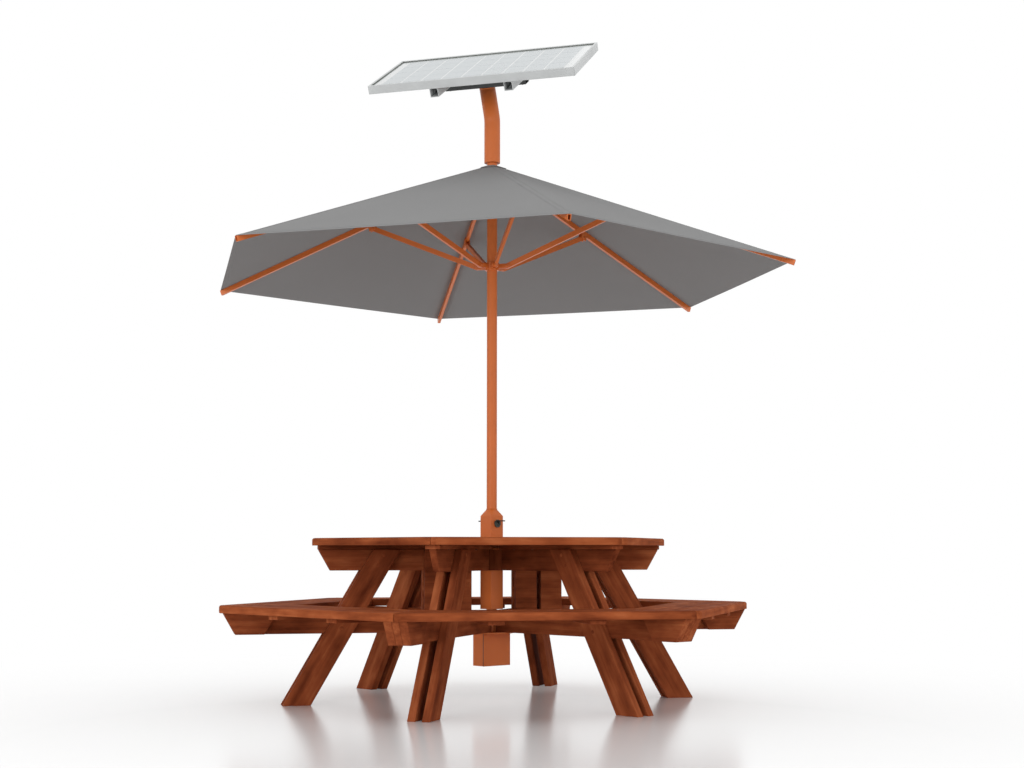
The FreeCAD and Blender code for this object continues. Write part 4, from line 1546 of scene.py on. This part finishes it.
@dataclass
class Studio:
    """Camera, lights, floor and background."""

    camera_place: Size = (2.290, -7.089, 0.688)
    camera_turn: float = math.radians(17.17)
    camera_rise: float = math.radians(6.054)
    lens: float = 55.58
    sensor: float = 36.0
    sight: float = 200.0
    ambient: float = 1.0
    floor_half: float = 60.0
    floor_colour: Rgba = (0.89, 0.89, 0.89, 1.0)
    floor_specular: float = 0.75
    floor_roughness: Span = (0.15, 0.20)
    floor_cloud: float = 0.6
    fade_middle: Size = (0.45, -1.4, 0.0)
    fade_span: Span = (1.8, 4.8)
    lights: tuple[SoftBox, ...] = (
        SoftBox("key_softbox", (-2.5, -8.0, 1.7), (0.0, 0.0, 1.4), 3.0, 130.0),
        SoftBox("fill_softbox", (6.5, -4.5, 1.9), (0.0, 0.0, 1.4), 3.0, 70.0),
        SoftBox("top_softbox", (0.5, 1.0, 7.5), (0.0, 0.0, 0.0), 6.0, 30.0))

    def build(self) -> None:
        """Sets up all of the studio."""
        bpy.context.scene.view_settings.view_transform = "Standard"
        self.set_camera()
        self.set_world()
        self.lay_floor()
        for light in self.lights:
            light.hang()

    def set_camera(self) -> None:
        """A camera at the photograph's place."""
        data = bpy.data.cameras.new("camera")
        data.lens = self.lens
        data.sensor_width = self.sensor
        data.sensor_fit = "HORIZONTAL"
        data.clip_end = self.sight
        camera = link("camera", data)
        camera.location = self.camera_place
        camera.rotation_euler = Euler((math.pi / 2 + self.camera_rise, 0.0, self.camera_turn))
        bpy.context.scene.camera = camera

    def set_world(self) -> None:
        """White for what looks straight or by reflection at the background, and a soft light."""
        graph = Graph("studio", for_world=True)
        graph.surface(Color=(1.0, 1.0, 1.0, 1.0),
                      Strength=graph.spread(graph.seen(), FULL, (self.ambient, 1.0)))
        bpy.context.scene.world = graph.owner

    def lay_floor(self) -> None:
        """A wide pale floor with a soft polish, which fades into the white background."""
        half = self.floor_half
        mesh = bpy.data.meshes.new("floor")
        mesh.from_pydata([(-half, -half, 0.0), (half, -half, 0.0), (half, half, 0.0),
                          (-half, half, 0.0)], [], [(0, 1, 2, 3)])
        graph = Graph("pale_polished_floor")
        space = graph.own_space()
        cloud = graph.noise(space, self.floor_cloud, detail=2.0)
        graph.surface(Base_Color=self.floor_colour, Specular_IOR_Level=self.floor_specular,
                      Roughness=graph.spread(cloud, FULL, self.floor_roughness))
        apart = graph.add("VectorMath", {0: space, 1: self.fade_middle}, operation="DISTANCE")
        fade = graph.spread(apart.outputs["Value"], self.fade_span, FULL)
        white = graph.add("Emission", {"Strength": 1.0}).outputs[0]
        share = graph.sums("MULTIPLY", fade, graph.seen())
        faded = graph.add("MixShader", {0: share, 1: graph.shader.outputs[0], 2: white})
        graph.feed(graph.output, "Surface", faded.outputs[0])
        mesh.materials.append(graph.owner)
        link("floor", mesh)


def dress_inner_nodes(finishes: Finishes, nodes: tuple[str, ...]) -> None:
    """Gives the finish of their slot to nodes that stay as they are.

    Args:
        finishes: The object's finishes.
        nodes: Names of the nodes.
    """
    for node in nodes:
        holder = frame["nodes"][node].material_slots[0]
        holder.link = "OBJECT"
        holder.material = finishes.of_node(node)
        LOG.info("%s keeps its solid", node)


def main() -> None:
    """Builds the object and its studio."""
    logging.basicConfig(level=logging.INFO, format="%(message)s")
    finishes, hardware = Finishes(), Hardware()
    Studio().build()
    for assembly in (TimberWork, SteelWork, ChargingSockets, Parasol):
        assembly(finishes, hardware).dress()
    Canopy(finishes, Stitching()).dress()
    SolarPanel(finishes, hardware).dress()
    dress_inner_nodes(finishes, ("battery", "charge_controller"))


if __name__ == "__main__":
    main()
